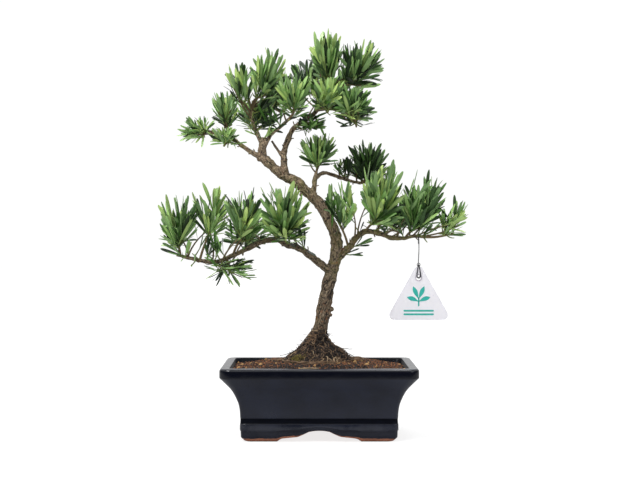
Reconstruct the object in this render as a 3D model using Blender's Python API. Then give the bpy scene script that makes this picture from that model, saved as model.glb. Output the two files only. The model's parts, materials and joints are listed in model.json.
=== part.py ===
# A podocarpus bonsai in a glazed rectangular pot, with a blank tag on a wire.
# Metres, +Z up, +X to the right of the front view, -Y towards the viewer.
# The origin is on the ground, under the middle of the whole plant's box.

import math
import random
from collections import namedtuple

import bmesh
import bpy
from mathutils import Matrix, Quaternion, Vector

UP = Vector((0, 0, 1))
GAP = 0.0003
GOLDEN_TURN = math.radians(137.5)

# The pot: the middle of its rim, its sizes over the rim, and its outer profile
# as heights with how far each stands in from the rim's outer edge.
POT_X = 0.0081
POT_WIDTH = 0.240
POT_DEPTH = 0.170
POT_HEIGHT = 0.090
LIP_WIDTH = 0.013
WALL_FOOT_INSET = 0.036
FLOOR_TOP = 0.020
WALL_CURVE = 0.8
INNER_CORNER_SHARE = 0.55
OUTER_CORNER_SHARE = 0.3
SMALLEST_CORNER = 0.004
RIM_CORNER = 0.014
CORNER_STEPS = 3
RIM_EDGE = 0.0035
LIP_EDGE = 0.0022
POT_PROFILE = (
    (0.0, 0.0300),
    (0.0050, 0.0250),
    (0.0125, 0.0247),
    (0.0140, 0.0238),
    (0.0212, 0.0238),
    (0.0228, 0.0265),
    (0.0268, 0.0265),
    (0.0285, 0.0250),
    (0.0378, 0.0246),
    (0.0462, 0.0228),
    (0.0540, 0.0194),
    (0.0630, 0.0146),
    (0.0708, 0.0074),
    (0.0765, 0.0020),
    (0.0785, 0.0),
)

# The arch between the feet, as half widths and heights from the foot to the crown.
ARCH = (
    (0.051, 0.0),
    (0.046, 0.0036),
    (0.026, 0.0058),
    (0.019, 0.0088),
    (0.0125, 0.0119),
    (0.006, 0.0131),
    (0.0, 0.0134),
)
ARCH_SIDE_SHARE = 0.62
CUT_BELOW = 0.010

# The soil: level with the wall a little under the rim, heaped under the trunk.
SOIL_EDGE_TOP = 0.0845
SOIL_HEAP_TOP = 0.0930
HEAP_HALF_X = 0.052
HEAP_HALF_Y = 0.050
SOIL_CORNER = 0.008
HEAP_CORNER = 0.038

# The trunk as points with diameters, from above the root flare to the sawn tip.
FLARE_TOP = 0.1280
FLARE_FOOT_RADIUS = 0.0420
FLARE_POWER = 1.85
FLARE_RINGS = 6
ROOT_LOBES = 7
ROOT_LOBE_DEPTH = 0.16
ROOT_EVENNESS = 0.6
ROOT_PHASE = 2.3
FLARE_CROWDING = 1.3
TRUNK_SIDES = 2 * ROOT_LOBES
TRUNK_STEP = 0.013
TRUNK = (
    (0.0084, 0.0, 0.1280, 0.0174),
    (0.0140, -0.0010, 0.1559, 0.0172),
    (0.0205, -0.0020, 0.1920, 0.0158),
    (0.0282, -0.0030, 0.2190, 0.0148),
    (0.0302, -0.0030, 0.2430, 0.0141),
    (0.0232, -0.0010, 0.2629, 0.0136),
    (0.0105, 0.0005, 0.2868, 0.0130),
    (-0.0158, 0.0015, 0.3127, 0.0124),
    (-0.0343, 0.0020, 0.3243, 0.0119),
    (-0.0520, 0.0005, 0.3381, 0.0113),
    (-0.0624, 0.0, 0.3506, 0.0106),
    (-0.0615, 0.0, 0.3726, 0.0096),
)

# Each bough: what it springs from, its first and last diameter, and its route.
Bough = namedtuple("Bough", "parent first last route")
BOUGHS = {
    "bough_lower_left": Bough("trunk", 0.0092, 0.0042, (
        (0.0258, -0.0030, 0.2020), (0.0090, -0.0050, 0.2150), (-0.0114, -0.0070, 0.2310),
        (-0.0338, -0.0070, 0.2391), (-0.0450, -0.0060, 0.2445), (-0.0676, -0.0040, 0.2404),
        (-0.0948, 0.0, 0.2270), (-0.1219, 0.0, 0.2166), (-0.1489, 0.0, 0.2204),
        (-0.1706, 0.0, 0.2256))),
    "bough_lower_right": Bough("trunk", 0.0098, 0.0036, (
        (0.0270, -0.0030, 0.2150), (0.0350, -0.0020, 0.2250), (0.0465, 0.0, 0.2355),
        (0.0531, 0.0, 0.2449), (0.0619, 0.0, 0.2521), (0.0706, 0.0, 0.2549),
        (0.0849, 0.0, 0.2521), (0.0991, 0.0, 0.2470), (0.1135, 0.0, 0.2464),
        (0.1279, 0.0, 0.2491), (0.1400, 0.0, 0.2480))),
    "bough_stub": Bough("trunk", 0.0070, 0.0048, (
        (0.0015, 0.0, 0.2955), (0.0018, 0.0, 0.3100), (0.0030, 0.0, 0.3200),
        (0.0052, 0.0, 0.3310))),
    "bough_middle_right": Bough("bough_stub", 0.0052, 0.0038, (
        (0.0030, 0.0010, 0.3215), (0.0132, 0.0090, 0.3285), (0.0247, 0.0180, 0.3268),
        (0.0472, 0.0340, 0.3198), (0.0624, 0.0460, 0.3175))),
    "bough_leader": Bough("trunk", 0.0090, 0.0034, (
        (-0.0343, 0.0020, 0.3243), (-0.0360, 0.0030, 0.3420), (-0.0352, 0.0050, 0.3570),
        (-0.0308, 0.0060, 0.3704), (-0.0247, 0.0060, 0.3829), (-0.0165, 0.0060, 0.3905),
        (-0.0050, 0.0050, 0.3974), (0.0080, 0.0040, 0.4100), (0.0160, 0.0040, 0.4250),
        (0.0210, 0.0040, 0.4380))),
    "bough_leader_spur": Bough("bough_leader", 0.0050, 0.0030, (
        (-0.0355, 0.0040, 0.3480), (-0.0420, 0.0040, 0.3550), (-0.0515, 0.0060, 0.3690))),
    "bough_crown_right": Bough("bough_leader", 0.0042, 0.0030, (
        (0.0060, 0.0042, 0.4080), (0.0210, 0.0080, 0.4090), (0.0390, 0.0100, 0.4060))),
    "bough_crown_left": Bough("trunk", 0.0060, 0.0034, (
        (-0.0620, 0.0, 0.3600), (-0.0520, -0.0060, 0.3755), (-0.0400, -0.0100, 0.3850),
        (-0.0290, -0.0140, 0.3950))),
    "bough_crown_left_upright": Bough("trunk", 0.0062, 0.0034, (
        (-0.0620, 0.0, 0.3620), (-0.0700, 0.0, 0.3790), (-0.0760, 0.0020, 0.3950),
        (-0.0755, 0.0040, 0.4130))),
    "bough_upper_left": Bough("trunk", 0.0064, 0.0036, (
        (-0.0620, 0.0, 0.3470), (-0.0769, -0.0020, 0.3540), (-0.0893, -0.0040, 0.3627),
        (-0.1080, -0.0040, 0.3752), (-0.1225, -0.0030, 0.3777), (-0.1348, -0.0030, 0.3814))),
}
BOUGH_SIDES = 8
BOUGH_STEP = 0.011

# Each mass of foliage: the bough that carries it and how far along, the middle of
# its reach and its half sizes, its shoots, leaves to a shoot, leaf length and leaf tone.
Mass = namedtuple("Mass", "bough along middle reach shoots leaves leaf tone")
MASSES = {
    "foliage_upper_left_tip": Mass("bough_upper_left", 0.93, (-0.144, -0.008, 0.378),
                                   (0.0235, 0.023, 0.020), 4, 4, 0.028, "mid"),
    "foliage_upper_left_high": Mass("bough_upper_left", 0.62, (-0.109, -0.006, 0.408),
                                    (0.017, 0.021, 0.026), 4, 4, 0.034, "mid"),
    "foliage_upper_left_low": Mass("bough_upper_left", 0.52, (-0.110, -0.018, 0.371),
                                   (0.019, 0.015, 0.014), 3, 4, 0.026, "young"),
    "foliage_crown_left_outer": Mass("bough_crown_left_upright", 0.75, (-0.092, -0.004, 0.441),
                                     (0.019, 0.023, 0.027), 4, 4, 0.038, "mid"),
    "foliage_crown_left_low": Mass("bough_crown_left_upright", 0.40, (-0.072, 0.036, 0.405),
                                   (0.027, 0.027, 0.021), 4, 4, 0.034, "dark"),
    "foliage_crown_left_top": Mass("bough_crown_left_upright", 1.0, (-0.056, -0.008, 0.451),
                                   (0.022, 0.025, 0.035), 5, 4, 0.044, "young"),
    "foliage_crown_front": Mass("bough_crown_left", 1.0, (-0.023, -0.036, 0.425),
                                (0.022, 0.023, 0.025), 4, 4, 0.038, "mid"),
    "foliage_crown_back": Mass("bough_leader", 0.86, (-0.010, 0.036, 0.450),
                               (0.020, 0.024, 0.025), 4, 4, 0.036, "dark"),
    "foliage_crown_top": Mass("bough_leader", 1.0, (0.0165, 0.004, 0.476),
                              (0.021, 0.025, 0.0345), 6, 4, 0.042, "mid"),
    "foliage_crown_right_top": Mass("bough_leader", 0.94, (0.061, 0.005, 0.463),
                                    (0.028, 0.028, 0.032), 6, 5, 0.044, "mid"),
    "foliage_crown_middle": Mass("bough_leader", 0.78, (0.019, -0.026, 0.420),
                                 (0.022, 0.023, 0.024), 4, 4, 0.036, "young"),
    "foliage_crown_right_low": Mass("bough_crown_right", 1.0, (0.056, 0.034, 0.407),
                                    (0.026, 0.025, 0.024), 4, 4, 0.036, "dark"),
    "foliage_crown_front_right": Mass("bough_crown_right", 0.75, (0.049, -0.036, 0.410),
                                      (0.024, 0.027, 0.024), 4, 4, 0.036, "mid"),
    "foliage_crown_inner_low": Mass("bough_leader", 0.60, (-0.002, -0.006, 0.383),
                                    (0.019, 0.020, 0.017), 3, 4, 0.028, "dark"),
    "foliage_crown_back_left": Mass("bough_crown_left_upright", 0.96, (-0.040, 0.060, 0.433),
                                    (0.028, 0.026, 0.032), 5, 4, 0.038, "mid"),
    "foliage_crown_back_right": Mass("bough_leader", 0.70, (0.032, 0.068, 0.440),
                                     (0.030, 0.026, 0.034), 5, 4, 0.040, "mid"),
    "foliage_stub": Mass("bough_stub", 1.0, (0.007, -0.003, 0.3555),
                         (0.026, 0.022, 0.022), 4, 4, 0.034, "mid"),
    "foliage_middle_right": Mass("bough_middle_right", 1.0, (0.072, 0.056, 0.345),
                                 (0.027, 0.028, 0.028), 5, 4, 0.038, "dark"),
    "foliage_middle_right_small": Mass("bough_middle_right", 0.66, (0.040, 0.036, 0.336),
                                       (0.014, 0.014, 0.014), 2, 4, 0.022, "dark"),
    "foliage_lower_right_inner": Mass("bough_lower_right", 0.20, (0.034, -0.030, 0.286),
                                      (0.021, 0.025, 0.032), 5, 4, 0.040, "young"),
    "foliage_lower_right_middle": Mass("bough_lower_right", 0.43, (0.087, -0.022, 0.303),
                                       (0.026, 0.030, 0.0445), 6, 5, 0.048, "young"),
    "foliage_lower_right_outer": Mass("bough_lower_right", 0.82, (0.139, 0.005, 0.291),
                                      (0.028, 0.030, 0.040), 6, 5, 0.044, "mid"),
    "foliage_lower_right_tip": Mass("bough_lower_right", 1.0, (0.1755, -0.004, 0.273),
                                    (0.0185, 0.020, 0.027), 3, 4, 0.038, "young"),
    "foliage_lower_right_back": Mass("bough_lower_right", 0.62, (0.112, 0.050, 0.276),
                                     (0.030, 0.027, 0.030), 4, 4, 0.038, "dark"),
    "foliage_lower_left_tip": Mass("bough_lower_left", 0.975, (-0.1685, -0.003, 0.268),
                                   (0.0255, 0.028, 0.036), 5, 4, 0.042, "mid"),
    "foliage_lower_left_middle": Mass("bough_lower_left", 0.86, (-0.128, 0.006, 0.281),
                                      (0.023, 0.028, 0.034), 5, 5, 0.042, "young"),
    "foliage_lower_left_front": Mass("bough_lower_left", 0.66, (-0.085, -0.024, 0.275),
                                     (0.025, 0.028, 0.035), 5, 4, 0.042, "mid"),
    "foliage_lower_left_inner": Mass("bough_lower_left", 0.33, (-0.035, -0.030, 0.277),
                                     (0.032, 0.032, 0.0395), 6, 5, 0.046, "young"),
    "foliage_lower_left_under": Mass("bough_lower_left", 0.70, (-0.100, 0.003, 0.203),
                                     (0.034, 0.023, 0.018), 4, 4, 0.034, "dark"),
    "foliage_lower_left_back": Mass("bough_lower_left", 0.56, (-0.084, 0.044, 0.262),
                                    (0.034, 0.027, 0.030), 5, 4, 0.038, "mid"),
}
MASS_SEED = 41
STEM_DIAMETER = 0.0034
SHOOT_DIAMETER = 0.0026
TWIG_SIDES = 3
STEM_STEPS = 3
SHOOT_TAPER = 0.65
STEM_SHORTEST = 0.006
STEM_BEND = 0.45
HEART_DROP = 0.62
FAN_ANGLE = math.radians(78)
LEAF_OVERHANG = 0.62
LEAF_WIDTH_SHARE = 0.24
LEAF_THICKNESS = 0.0010
LEAF_WIDEST = 0.55
LEAF_LOW_ANGLE = math.radians(58)
LEAF_TIP_ANGLE = math.radians(14)
LEAF_LIFT = 0.22
LEAF_SHRINK = 0.93
LEAF_TRIES = 9
LEAF_MARGIN = 0.0006
LEAF_LENGTHS = (0.88, 1.12)
LEAF_ROLL = 0.5
LEAF_FACE_UP = 0.15
LEAF_FIRST = 0.94
LEAF_SPAN = 0.58
CREASE_BACK = 0.08
TURN_JITTER = 0.3
FIRST_OPENING = 0.2
SHOOT_LENGTHS = (0.85, 1.0)
SHOOTS_DOWN_STEM = 0.75
OBSTACLE_RANGE = 1.8
SHOOT_SHORT = 0.007
SHOOT_SHORTEST = 0.005
SHOOT_SHRINK = 0.8
PROBES = 9
PROBE_SHARE = 0.8
REACH_GAP = 0.0006

# The blank tag: a rounded triangle on a stiff wire whose eye is round a bough.
EYE_X = 0.1330
EYE_RADIUS = 0.0036
WIRE_DIAMETER = 0.0012
WIRE_SIDES = 6
CLIP_TOP = 0.2130
TAG_HOLE_Z = 0.1969
TAG_HOLE_RADIUS = 0.0030
TAG_TOP_Z = 0.2174
TAG_BOTTOM_Z = 0.1439
TAG_HALF_WIDTH = 0.0413
TAG_CORNER = 0.0065
TAG_THICKNESS = 0.0012
TAG_STEPS = 5
CLIP_WIDTH = 0.0030
CLIP_THICKNESS = 0.0010
PIN_RADIUS = 0.0010
TAG_PLAY = 0.0008
EYE_SIDES = 12
HOLE_SIDES = 16
TAG_KEEP_CLEAR = 0.0065

COLOURS = {
    "bark": ((0.19, 0.135, 0.092), 0.85),
    "young_bark": ((0.17, 0.15, 0.07), 0.75),
    "leaf_young": ((0.16, 0.36, 0.07), 0.42),
    "leaf_mid": ((0.07, 0.21, 0.05), 0.42),
    "leaf_dark": ((0.02, 0.09, 0.035), 0.42),
    "dark_glaze": ((0.010, 0.014, 0.026), 0.12),
    "potting_soil": ((0.16, 0.10, 0.06), 0.95),
    "tag_wire": ((0.12, 0.12, 0.13), 0.35),
    "tag_plastic": ((0.80, 0.84, 0.84), 0.25),
}
METAL_MATERIALS = ("tag_wire",)


def clear_scene():
    for obj in list(bpy.data.objects):
        bpy.data.objects.remove(obj, do_unlink=True)


def make_material(name):
    colour, roughness = COLOURS[name]
    material = bpy.data.materials.get(name) or bpy.data.materials.new(name)
    material.use_nodes = True
    shader = material.node_tree.nodes["Principled BSDF"]
    shader.inputs["Base Color"].default_value = (*colour, 1.0)
    shader.inputs["Roughness"].default_value = roughness
    shader.inputs["Metallic"].default_value = 1.0 if name in METAL_MATERIALS else 0.0
    material.diffuse_color = (*colour, 1.0)
    return material


def add_object(name, verts, faces, collection=None):
    mesh = bpy.data.meshes.new(name)
    mesh.from_pydata([tuple(v) for v in verts], [], faces)
    mesh.update()
    obj = bpy.data.objects.new(name, mesh)
    (collection or bpy.context.scene.collection).objects.link(obj)
    return obj


def finish_object(obj, material, smooth=True):
    obj.data.materials.clear()
    obj.data.materials.append(make_material(material))
    if smooth:
        obj.data.shade_smooth()
        obj.data.set_sharp_from_angle(angle=math.radians(40))
    return obj


def smooth_route(points, step):
    """Read a Catmull-Rom curve through the points, about one reading each step."""
    ends = [points[0] * 2 - points[1]] + list(points) + [points[-1] * 2 - points[-2]]
    route = []
    for a, b, c, d in zip(ends, ends[1:], ends[2:], ends[3:]):
        count = max(1, round((c - b).length / step))
        for i in range(count):
            t = i / count
            route.append(0.5 * (2 * b + (c - a) * t + (2 * a - 5 * b + 4 * c - d) * t * t
                                + (3 * b - a - 3 * c + d) * t ** 3))
    route.append(points[-1].copy())
    return route


def turned_frames(route):
    """Give each point of a route two cross directions that turn as little as they can."""
    heading = (route[1] - route[0]).normalized()
    side = heading.orthogonal().normalized()
    frames = []
    for i, point in enumerate(route):
        ahead = route[min(i + 1, len(route) - 1)] - route[max(i - 1, 0)]
        ahead.normalize()
        side = heading.rotation_difference(ahead) @ side
        side = (side - ahead * side.dot(ahead)).normalized()
        heading = ahead
        frames.append((side, ahead.cross(side)))
    return frames


def tube(route, radii, sides, lobes=None):
    """Loft a closed tube along a route. Lobes give each side's share of the radius."""
    verts = []
    for i, (point, radius, (side, cross)) in enumerate(zip(route, radii, turned_frames(route))):
        for k in range(sides):
            turn = 2 * math.pi * k / sides
            share = lobes(i, k) if lobes else 1.0
            verts.append(point + (side * math.cos(turn) + cross * math.sin(turn)) * radius * share)
    faces = [tuple(reversed(range(sides)))]
    for i in range(len(route) - 1):
        for k in range(sides):
            a, b = i * sides + k, i * sides + (k + 1) % sides
            faces.append((a, b, b + sides, a + sides))
    last = (len(route) - 1) * sides
    faces.append(tuple(last + k for k in range(sides)))
    return verts, faces


def apply_boolean(obj, operation, other=None, collection=None, solver="EXACT"):
    """Join or cut an object for good, and keep its evaluated mesh."""
    modifier = obj.modifiers.new(operation.title(), "BOOLEAN")
    modifier.operation = operation
    modifier.solver = solver
    if collection:
        modifier.operand_type = "COLLECTION"
        modifier.collection = collection
    else:
        modifier.object = other
    depsgraph = bpy.context.evaluated_depsgraph_get()
    mesh = bpy.data.meshes.new_from_object(obj.evaluated_get(depsgraph))
    obj.modifiers.clear()
    obj.data = mesh


def remove_object(obj):
    bpy.data.objects.remove(obj, do_unlink=True)


def island_volume(faces):
    total = 0.0
    for face in faces:
        corners = [v.co for v in face.verts]
        for b, c in zip(corners[1:], corners[2:]):
            total += corners[0].dot(b.cross(c)) / 6
    return total


def keep_largest_island(mesh):
    """Drop loose scraps and the inner skins of sealed hollows."""
    bm = bmesh.new()
    bm.from_mesh(mesh)
    left = set(bm.faces)
    islands = []
    while left:
        start = left.pop()
        island = [start]
        queue = [start]
        while queue:
            for edge in queue.pop().edges:
                for face in edge.link_faces:
                    if face in left:
                        left.remove(face)
                        island.append(face)
                        queue.append(face)
        islands.append(island)
    islands.sort(key=island_volume)
    for island in islands[:-1]:
        bmesh.ops.delete(bm, geom=island, context="FACES")
    bm.to_mesh(mesh)
    bm.free()


def rounded_ring(half_x, half_y, corner, z, steps=CORNER_STEPS):
    """One ring of a rounded rectangle, counter-clockwise from above."""
    ring = []
    for sign_x, sign_y, first in ((1, 1, 0), (-1, 1, 1), (-1, -1, 2), (1, -1, 3)):
        for i in range(steps + 1):
            turn = math.pi / 2 * (first + i / steps)
            x = sign_x * (half_x - corner) + corner * math.cos(turn)
            y = sign_y * (half_y - corner) + corner * math.sin(turn)
            ring.append(Vector((POT_X + x, y, z)))
    return ring


def loft_rings(rings):
    """Join rings of equal count from the lowest outer one to the last inner one."""
    count = len(rings[0])
    verts = [v for ring in rings for v in ring]
    faces = [tuple(reversed(range(count)))]
    for i in range(len(rings) - 1):
        for k in range(count):
            a, b = i * count + k, i * count + (k + 1) % count
            faces.append((a, b, b + count, a + count))
    last = (len(rings) - 1) * count
    faces.append(tuple(last + k for k in range(count)))
    return verts, faces


def inner_inset(z):
    """How far the pot's inner wall stands in from the rim's outer edge at a height."""
    share = (POT_HEIGHT - z) / (POT_HEIGHT - FLOOR_TOP)
    return LIP_WIDTH + (WALL_FOOT_INSET - LIP_WIDTH) * share ** WALL_CURVE


def inner_corner(z):
    return max(SMALLEST_CORNER, RIM_CORNER - INNER_CORNER_SHARE * inner_inset(z))


def make_pot():
    half_x, half_y = POT_WIDTH / 2, POT_DEPTH / 2
    rings = []
    for z, inset in POT_PROFILE:
        corner = RIM_CORNER - OUTER_CORNER_SHARE * inset
        rings.append(rounded_ring(half_x - inset, half_y - inset, corner, z))
    for i in range(3):
        turn = math.pi / 4 * i
        inset = RIM_EDGE * (1 - math.cos(turn))
        z = POT_HEIGHT - RIM_EDGE + RIM_EDGE * math.sin(turn)
        rings.append(rounded_ring(half_x - inset, half_y - inset, RIM_CORNER - inset, z))
    for drop, inset in ((0.0, LIP_WIDTH - LIP_EDGE), (LIP_EDGE / 2, LIP_WIDTH - LIP_EDGE / 4)):
        rings.append(rounded_ring(half_x - inset, half_y - inset, inner_corner(POT_HEIGHT),
                                  POT_HEIGHT - drop))
    for share in (0.95, 0.75, 0.5, 0.25, 0.0):
        z = FLOOR_TOP + (POT_HEIGHT - FLOOR_TOP) * share
        inset = inner_inset(z)
        rings.append(rounded_ring(half_x - inset, half_y - inset, inner_corner(z), z))
    pot = add_object("pot", *loft_rings(rings))
    for along_x in (False, True):
        cutter = arch_cutter(along_x)
        apply_boolean(pot, "DIFFERENCE", cutter)
        remove_object(cutter)
    return finish_object(pot, "dark_glaze")


def arch_cutter(along_x):
    """A prism with the arch's outline, through the pot from side to side or front to back."""
    share = ARCH_SIDE_SHARE if along_x else 1.0
    outline = [(x * share, z) for x, z in ARCH] + [(-x * share, z) for x, z in reversed(ARCH[:-1])]
    outline = [(outline[0][0], -CUT_BELOW)] + outline + [(outline[-1][0], -CUT_BELOW)]
    count = len(outline)
    verts = []
    for end in (-POT_WIDTH, POT_WIDTH):
        for across, z in outline:
            verts.append(Vector((end, -across, z)) if along_x else Vector((POT_X + across, end, z)))
    faces = [tuple(range(count)), tuple(reversed(range(count, 2 * count)))]
    for k in range(count):
        a, b = k, (k + 1) % count
        faces.append((a, a + count, b + count, b))
    cutter = add_object("arch_cutter", verts, faces)
    cutter.display_type = "WIRE"
    cutter.hide_render = True
    return cutter


def soil_height(share):
    """Height of the soil's top from the wall, share 0, to the heap's edge, share 1."""
    return SOIL_EDGE_TOP + (SOIL_HEAP_TOP - SOIL_EDGE_TOP) * (0.5 - 0.5 * math.cos(math.pi * share))


def make_soil():
    half_x, half_y = POT_WIDTH / 2, POT_DEPTH / 2
    rings = []
    for share in (0.0, 0.25, 0.5, 0.75):
        z = FLOOR_TOP + (POT_HEIGHT - FLOOR_TOP) * share
        inset = inner_inset(z) + GAP
        base = z + GAP if share == 0.0 else z
        rings.append(rounded_ring(half_x - inset, half_y - inset, inner_corner(z), base))
    inset = inner_inset(SOIL_EDGE_TOP) + 2 * GAP
    edge_x, edge_y = half_x - inset, half_y - inset
    for share in (0.0, 0.3, 0.6, 1.0):
        rings.append(rounded_ring(edge_x + (HEAP_HALF_X - edge_x) * share,
                                  edge_y + (HEAP_HALF_Y - edge_y) * share,
                                  SOIL_CORNER + (HEAP_CORNER - SOIL_CORNER) * share,
                                  soil_height(share)))
    return finish_object(add_object("soil", *loft_rings(rings)), "potting_soil")


def trunk_route():
    """The trunk's centre line and radii, with the flare's rings under it."""
    foot = SOIL_HEAP_TOP + GAP
    points = [Vector(row[:3]) for row in TRUNK]
    route = smooth_route(points, TRUNK_STEP)
    lengths = [(points[i + 1] - points[i]).length for i in range(len(points) - 1)]
    radii = []
    for point in route:
        nearest = min(range(len(lengths)), key=lambda i: off_segment(point, points[i], points[i + 1]))
        along = (point - points[nearest]).length / lengths[nearest]
        radii.append((TRUNK[nearest][3] * (1 - along) + TRUNK[nearest + 1][3] * along) / 2)
    top = points[0]
    flare, flare_radii = [], []
    for i in range(FLARE_RINGS):
        share = (i / FLARE_RINGS) ** FLARE_CROWDING
        flare.append(Vector((top.x, top.y, foot + (FLARE_TOP - foot) * share)))
        flare_radii.append(radii[0] + (FLARE_FOOT_RADIUS - radii[0]) * (1 - share) ** FLARE_POWER)
    return flare + route, flare_radii + radii


def off_segment(point, a, b):
    """Distance from a point to the stretch between two others."""
    run = b - a
    share = max(0.0, min(1.0, (point - a).dot(run) / run.length_squared))
    return (point - a - run * share).length


def root_lobes(ring, side):
    """Alternate sides stand out as roots on the flare, and fade up the trunk."""
    depth = ROOT_LOBE_DEPTH * max(0.0, 1 - ring / FLARE_RINGS)
    size = ROOT_EVENNESS + (1 - ROOT_EVENNESS) * math.sin(side * ROOT_PHASE)
    return 1 + depth * size * (1 if side % 2 else -1)


def bough_route(bough):
    points = [Vector(p) for p in bough.route]
    route = smooth_route(points, BOUGH_STEP)
    count = len(route) - 1
    radii = [(bough.first + (bough.last - bough.first) * i / count) / 2 for i in range(count + 1)]
    return route, radii


def widened(route, radii):
    """The same limb, one gap larger all round and at its tip."""
    ahead = (route[-1] - route[-2]).normalized()
    return route[:-1] + [route[-1] + ahead * GAP], [r + GAP for r in radii]


def make_limbs():
    """Make the trunk and its boughs, each bough cut clear of what it springs from."""
    routes = {"trunk": trunk_route()}
    for name, bough in BOUGHS.items():
        routes[name] = bough_route(bough)
    objects = []
    for name, (route, radii) in routes.items():
        if name == "trunk":
            obj = add_object(name, *tube(route, radii, TRUNK_SIDES, root_lobes))
        else:
            obj = add_object(name, *tube(route, radii, BOUGH_SIDES))
            cut_clear(obj, BOUGHS[name].parent, routes)
        objects.append(finish_object(obj, "bark"))
    return routes, objects


def cut_clear(obj, limb, routes):
    """Cut an object 0.3 mm clear of a limb and drop what falls off."""
    sides = TRUNK_SIDES if limb == "trunk" else BOUGH_SIDES
    lobes = root_lobes if limb == "trunk" else None
    cutter = add_object("limb_cutter", *tube(*widened(*routes[limb]), sides, lobes))
    apply_boolean(obj, "DIFFERENCE", cutter)
    remove_object(cutter)
    keep_largest_island(obj.data)


def point_along(route, share):
    """A point of a route at a share of its length, and its heading there."""
    steps = [(b - a).length for a, b in zip(route, route[1:])]
    left = share * sum(steps)
    for a, b, step in zip(route, route[1:], steps):
        if left <= step:
            return a.lerp(b, left / step), (b - a) / step
        left -= step
    return route[-1].copy(), (route[-1] - route[-2]).normalized()


def mass_stem(mass, routes):
    """The curved stem from the middle of its bough to the heart of the mass."""
    start, heading = point_along(routes[mass.bough][0], mass.along)
    middle = Vector(mass.middle)
    toward = (middle - start).normalized()
    drop = toward if toward.z < 0 else UP
    heart = middle - Vector([s * r for s, r in zip(drop, mass.reach)]) * HEART_DROP
    if (heart - start).dot(toward) < STEM_SHORTEST:
        heart = start + toward * STEM_SHORTEST
    leave = heading if mass.along == 1.0 else toward
    bend = start + leave * (heart - start).length * STEM_BEND
    route, radii = [], []
    for i in range(STEM_STEPS + 1):
        t = i / STEM_STEPS
        route.append(start * (1 - t) ** 2 + bend * 2 * t * (1 - t) + heart * t * t)
        radii.append((STEM_DIAMETER + (SHOOT_DIAMETER - STEM_DIAMETER) * t) / 2)
    return route, radii


def support(reach, direction):
    return math.sqrt(sum((r * d) ** 2 for r, d in zip(reach, direction)))


def dividing_planes(name):
    """Planes that keep a mass out of the space of each neighbour."""
    own = MASSES[name]
    middle = Vector(own.middle)
    planes = []
    for other_name, other in MASSES.items():
        if other_name == name:
            continue
        away = Vector(other.middle) - middle
        distance = away.length
        away.normalize()
        mine, theirs = support(own.reach, away), support(other.reach, away)
        planes.append((away, middle.dot(away) + distance * mine / (mine + theirs) - REACH_GAP / 2))
    return planes


def inside_reach(point, mass, planes):
    offset = point - Vector(mass.middle)
    if sum((o / r) ** 2 for o, r in zip(offset, mass.reach)) > 1:
        return False
    return all(point.dot(normal) <= limit for normal, limit in planes)


def clear_of(probes, obstacles):
    """True where every probe, a point with a radius, is clear of every round obstacle."""
    for point, width in probes:
        for centre, radius in obstacles:
            if (point - centre).length < radius + width:
                return False
    return True


def leaf_probes(verts):
    """Points along a leaf with about half its width there, to test it against limbs."""
    root, tip, left, right = verts[:4]
    half_width = (right - left).length / 2
    probes = []
    for i in range(2, PROBES + 1):
        share = i / PROBES
        taper = share / LEAF_WIDEST if share < LEAF_WIDEST else (1 - share) / (1 - LEAF_WIDEST)
        probes.append((root.lerp(tip, share), half_width * taper * PROBE_SHARE + LEAF_MARGIN))
    return probes


def samples(route, radii, step=0.003):
    """Round obstacles along a limb, close enough to stand for it."""
    found = []
    for a, b, ra, rb in zip(route, route[1:], radii, radii[1:]):
        count = max(1, math.ceil((b - a).length / step))
        for i in range(count + 1):
            t = i / count
            found.append((a.lerp(b, t), ra + (rb - ra) * t))
    return found


def leaf_shape(root, ahead, face_up, length):
    """A leaf as a long diamond with a flat underside and a ridge on top."""
    side = ahead.cross(face_up).normalized()
    normal = side.cross(ahead).normalized()
    half_width = length * LEAF_WIDTH_SHARE / 2
    broad = root + ahead * length * LEAF_WIDEST
    crease = root + ahead * length * (LEAF_WIDEST - CREASE_BACK)
    verts = [root, root + ahead * length, broad - side * half_width, broad + side * half_width,
             crease + normal * LEAF_THICKNESS]
    return verts, [(0, 3, 4), (0, 4, 2), (1, 4, 3), (1, 2, 4), (0, 2, 1), (0, 1, 3)]


def fan_direction(axis, opening, turn):
    """Tilt an axis by an opening angle, in the direction of a turn round it."""
    side = Quaternion(axis, turn) @ axis.orthogonal().normalized()
    return (axis * math.cos(opening) + side * math.sin(opening)).normalized()


def distance_to_edge(point, direction, mass):
    """How far a ray runs from a point inside a mass to the edge of its reach."""
    offset = Vector([(p - m) / r for p, m, r in zip(point, mass.middle, mass.reach)])
    run = Vector([d / r for d, r in zip(direction, mass.reach)])
    a, b, c = run.dot(run), offset.dot(run), offset.dot(offset) - 1
    return (-b + math.sqrt(max(0.0, b * b - a * c))) / a


def shoot_probes(start, end):
    return [(start.lerp(end, i / PROBES), SHOOT_DIAMETER / 2 + 2 * GAP) for i in range(3, PROBES + 1)]


def grow_leaf(shoot, share, turn, opening, mass, planes, obstacles, rng):
    """One leaf on a shoot, shortened until it keeps to the mass's space, or None."""
    root = shoot[0].lerp(shoot[1], share)
    axis = (shoot[1] - shoot[0]).normalized()
    ahead = fan_direction(axis, opening, turn)
    ahead = (ahead + UP * LEAF_LIFT).normalized()
    face_up = (axis - ahead * axis.dot(ahead) + UP * LEAF_FACE_UP).normalized()
    face_up = Quaternion(ahead, rng.uniform(-LEAF_ROLL, LEAF_ROLL)) @ face_up
    length = mass.leaf * rng.uniform(*LEAF_LENGTHS)
    for _ in range(LEAF_TRIES):
        verts, faces = leaf_shape(root, ahead, face_up, length)
        fits = all(inside_reach(v, mass, planes) for v in verts)
        if fits and clear_of(leaf_probes(verts), obstacles):
            return verts, faces
        length *= LEAF_SHRINK
    return None


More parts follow.
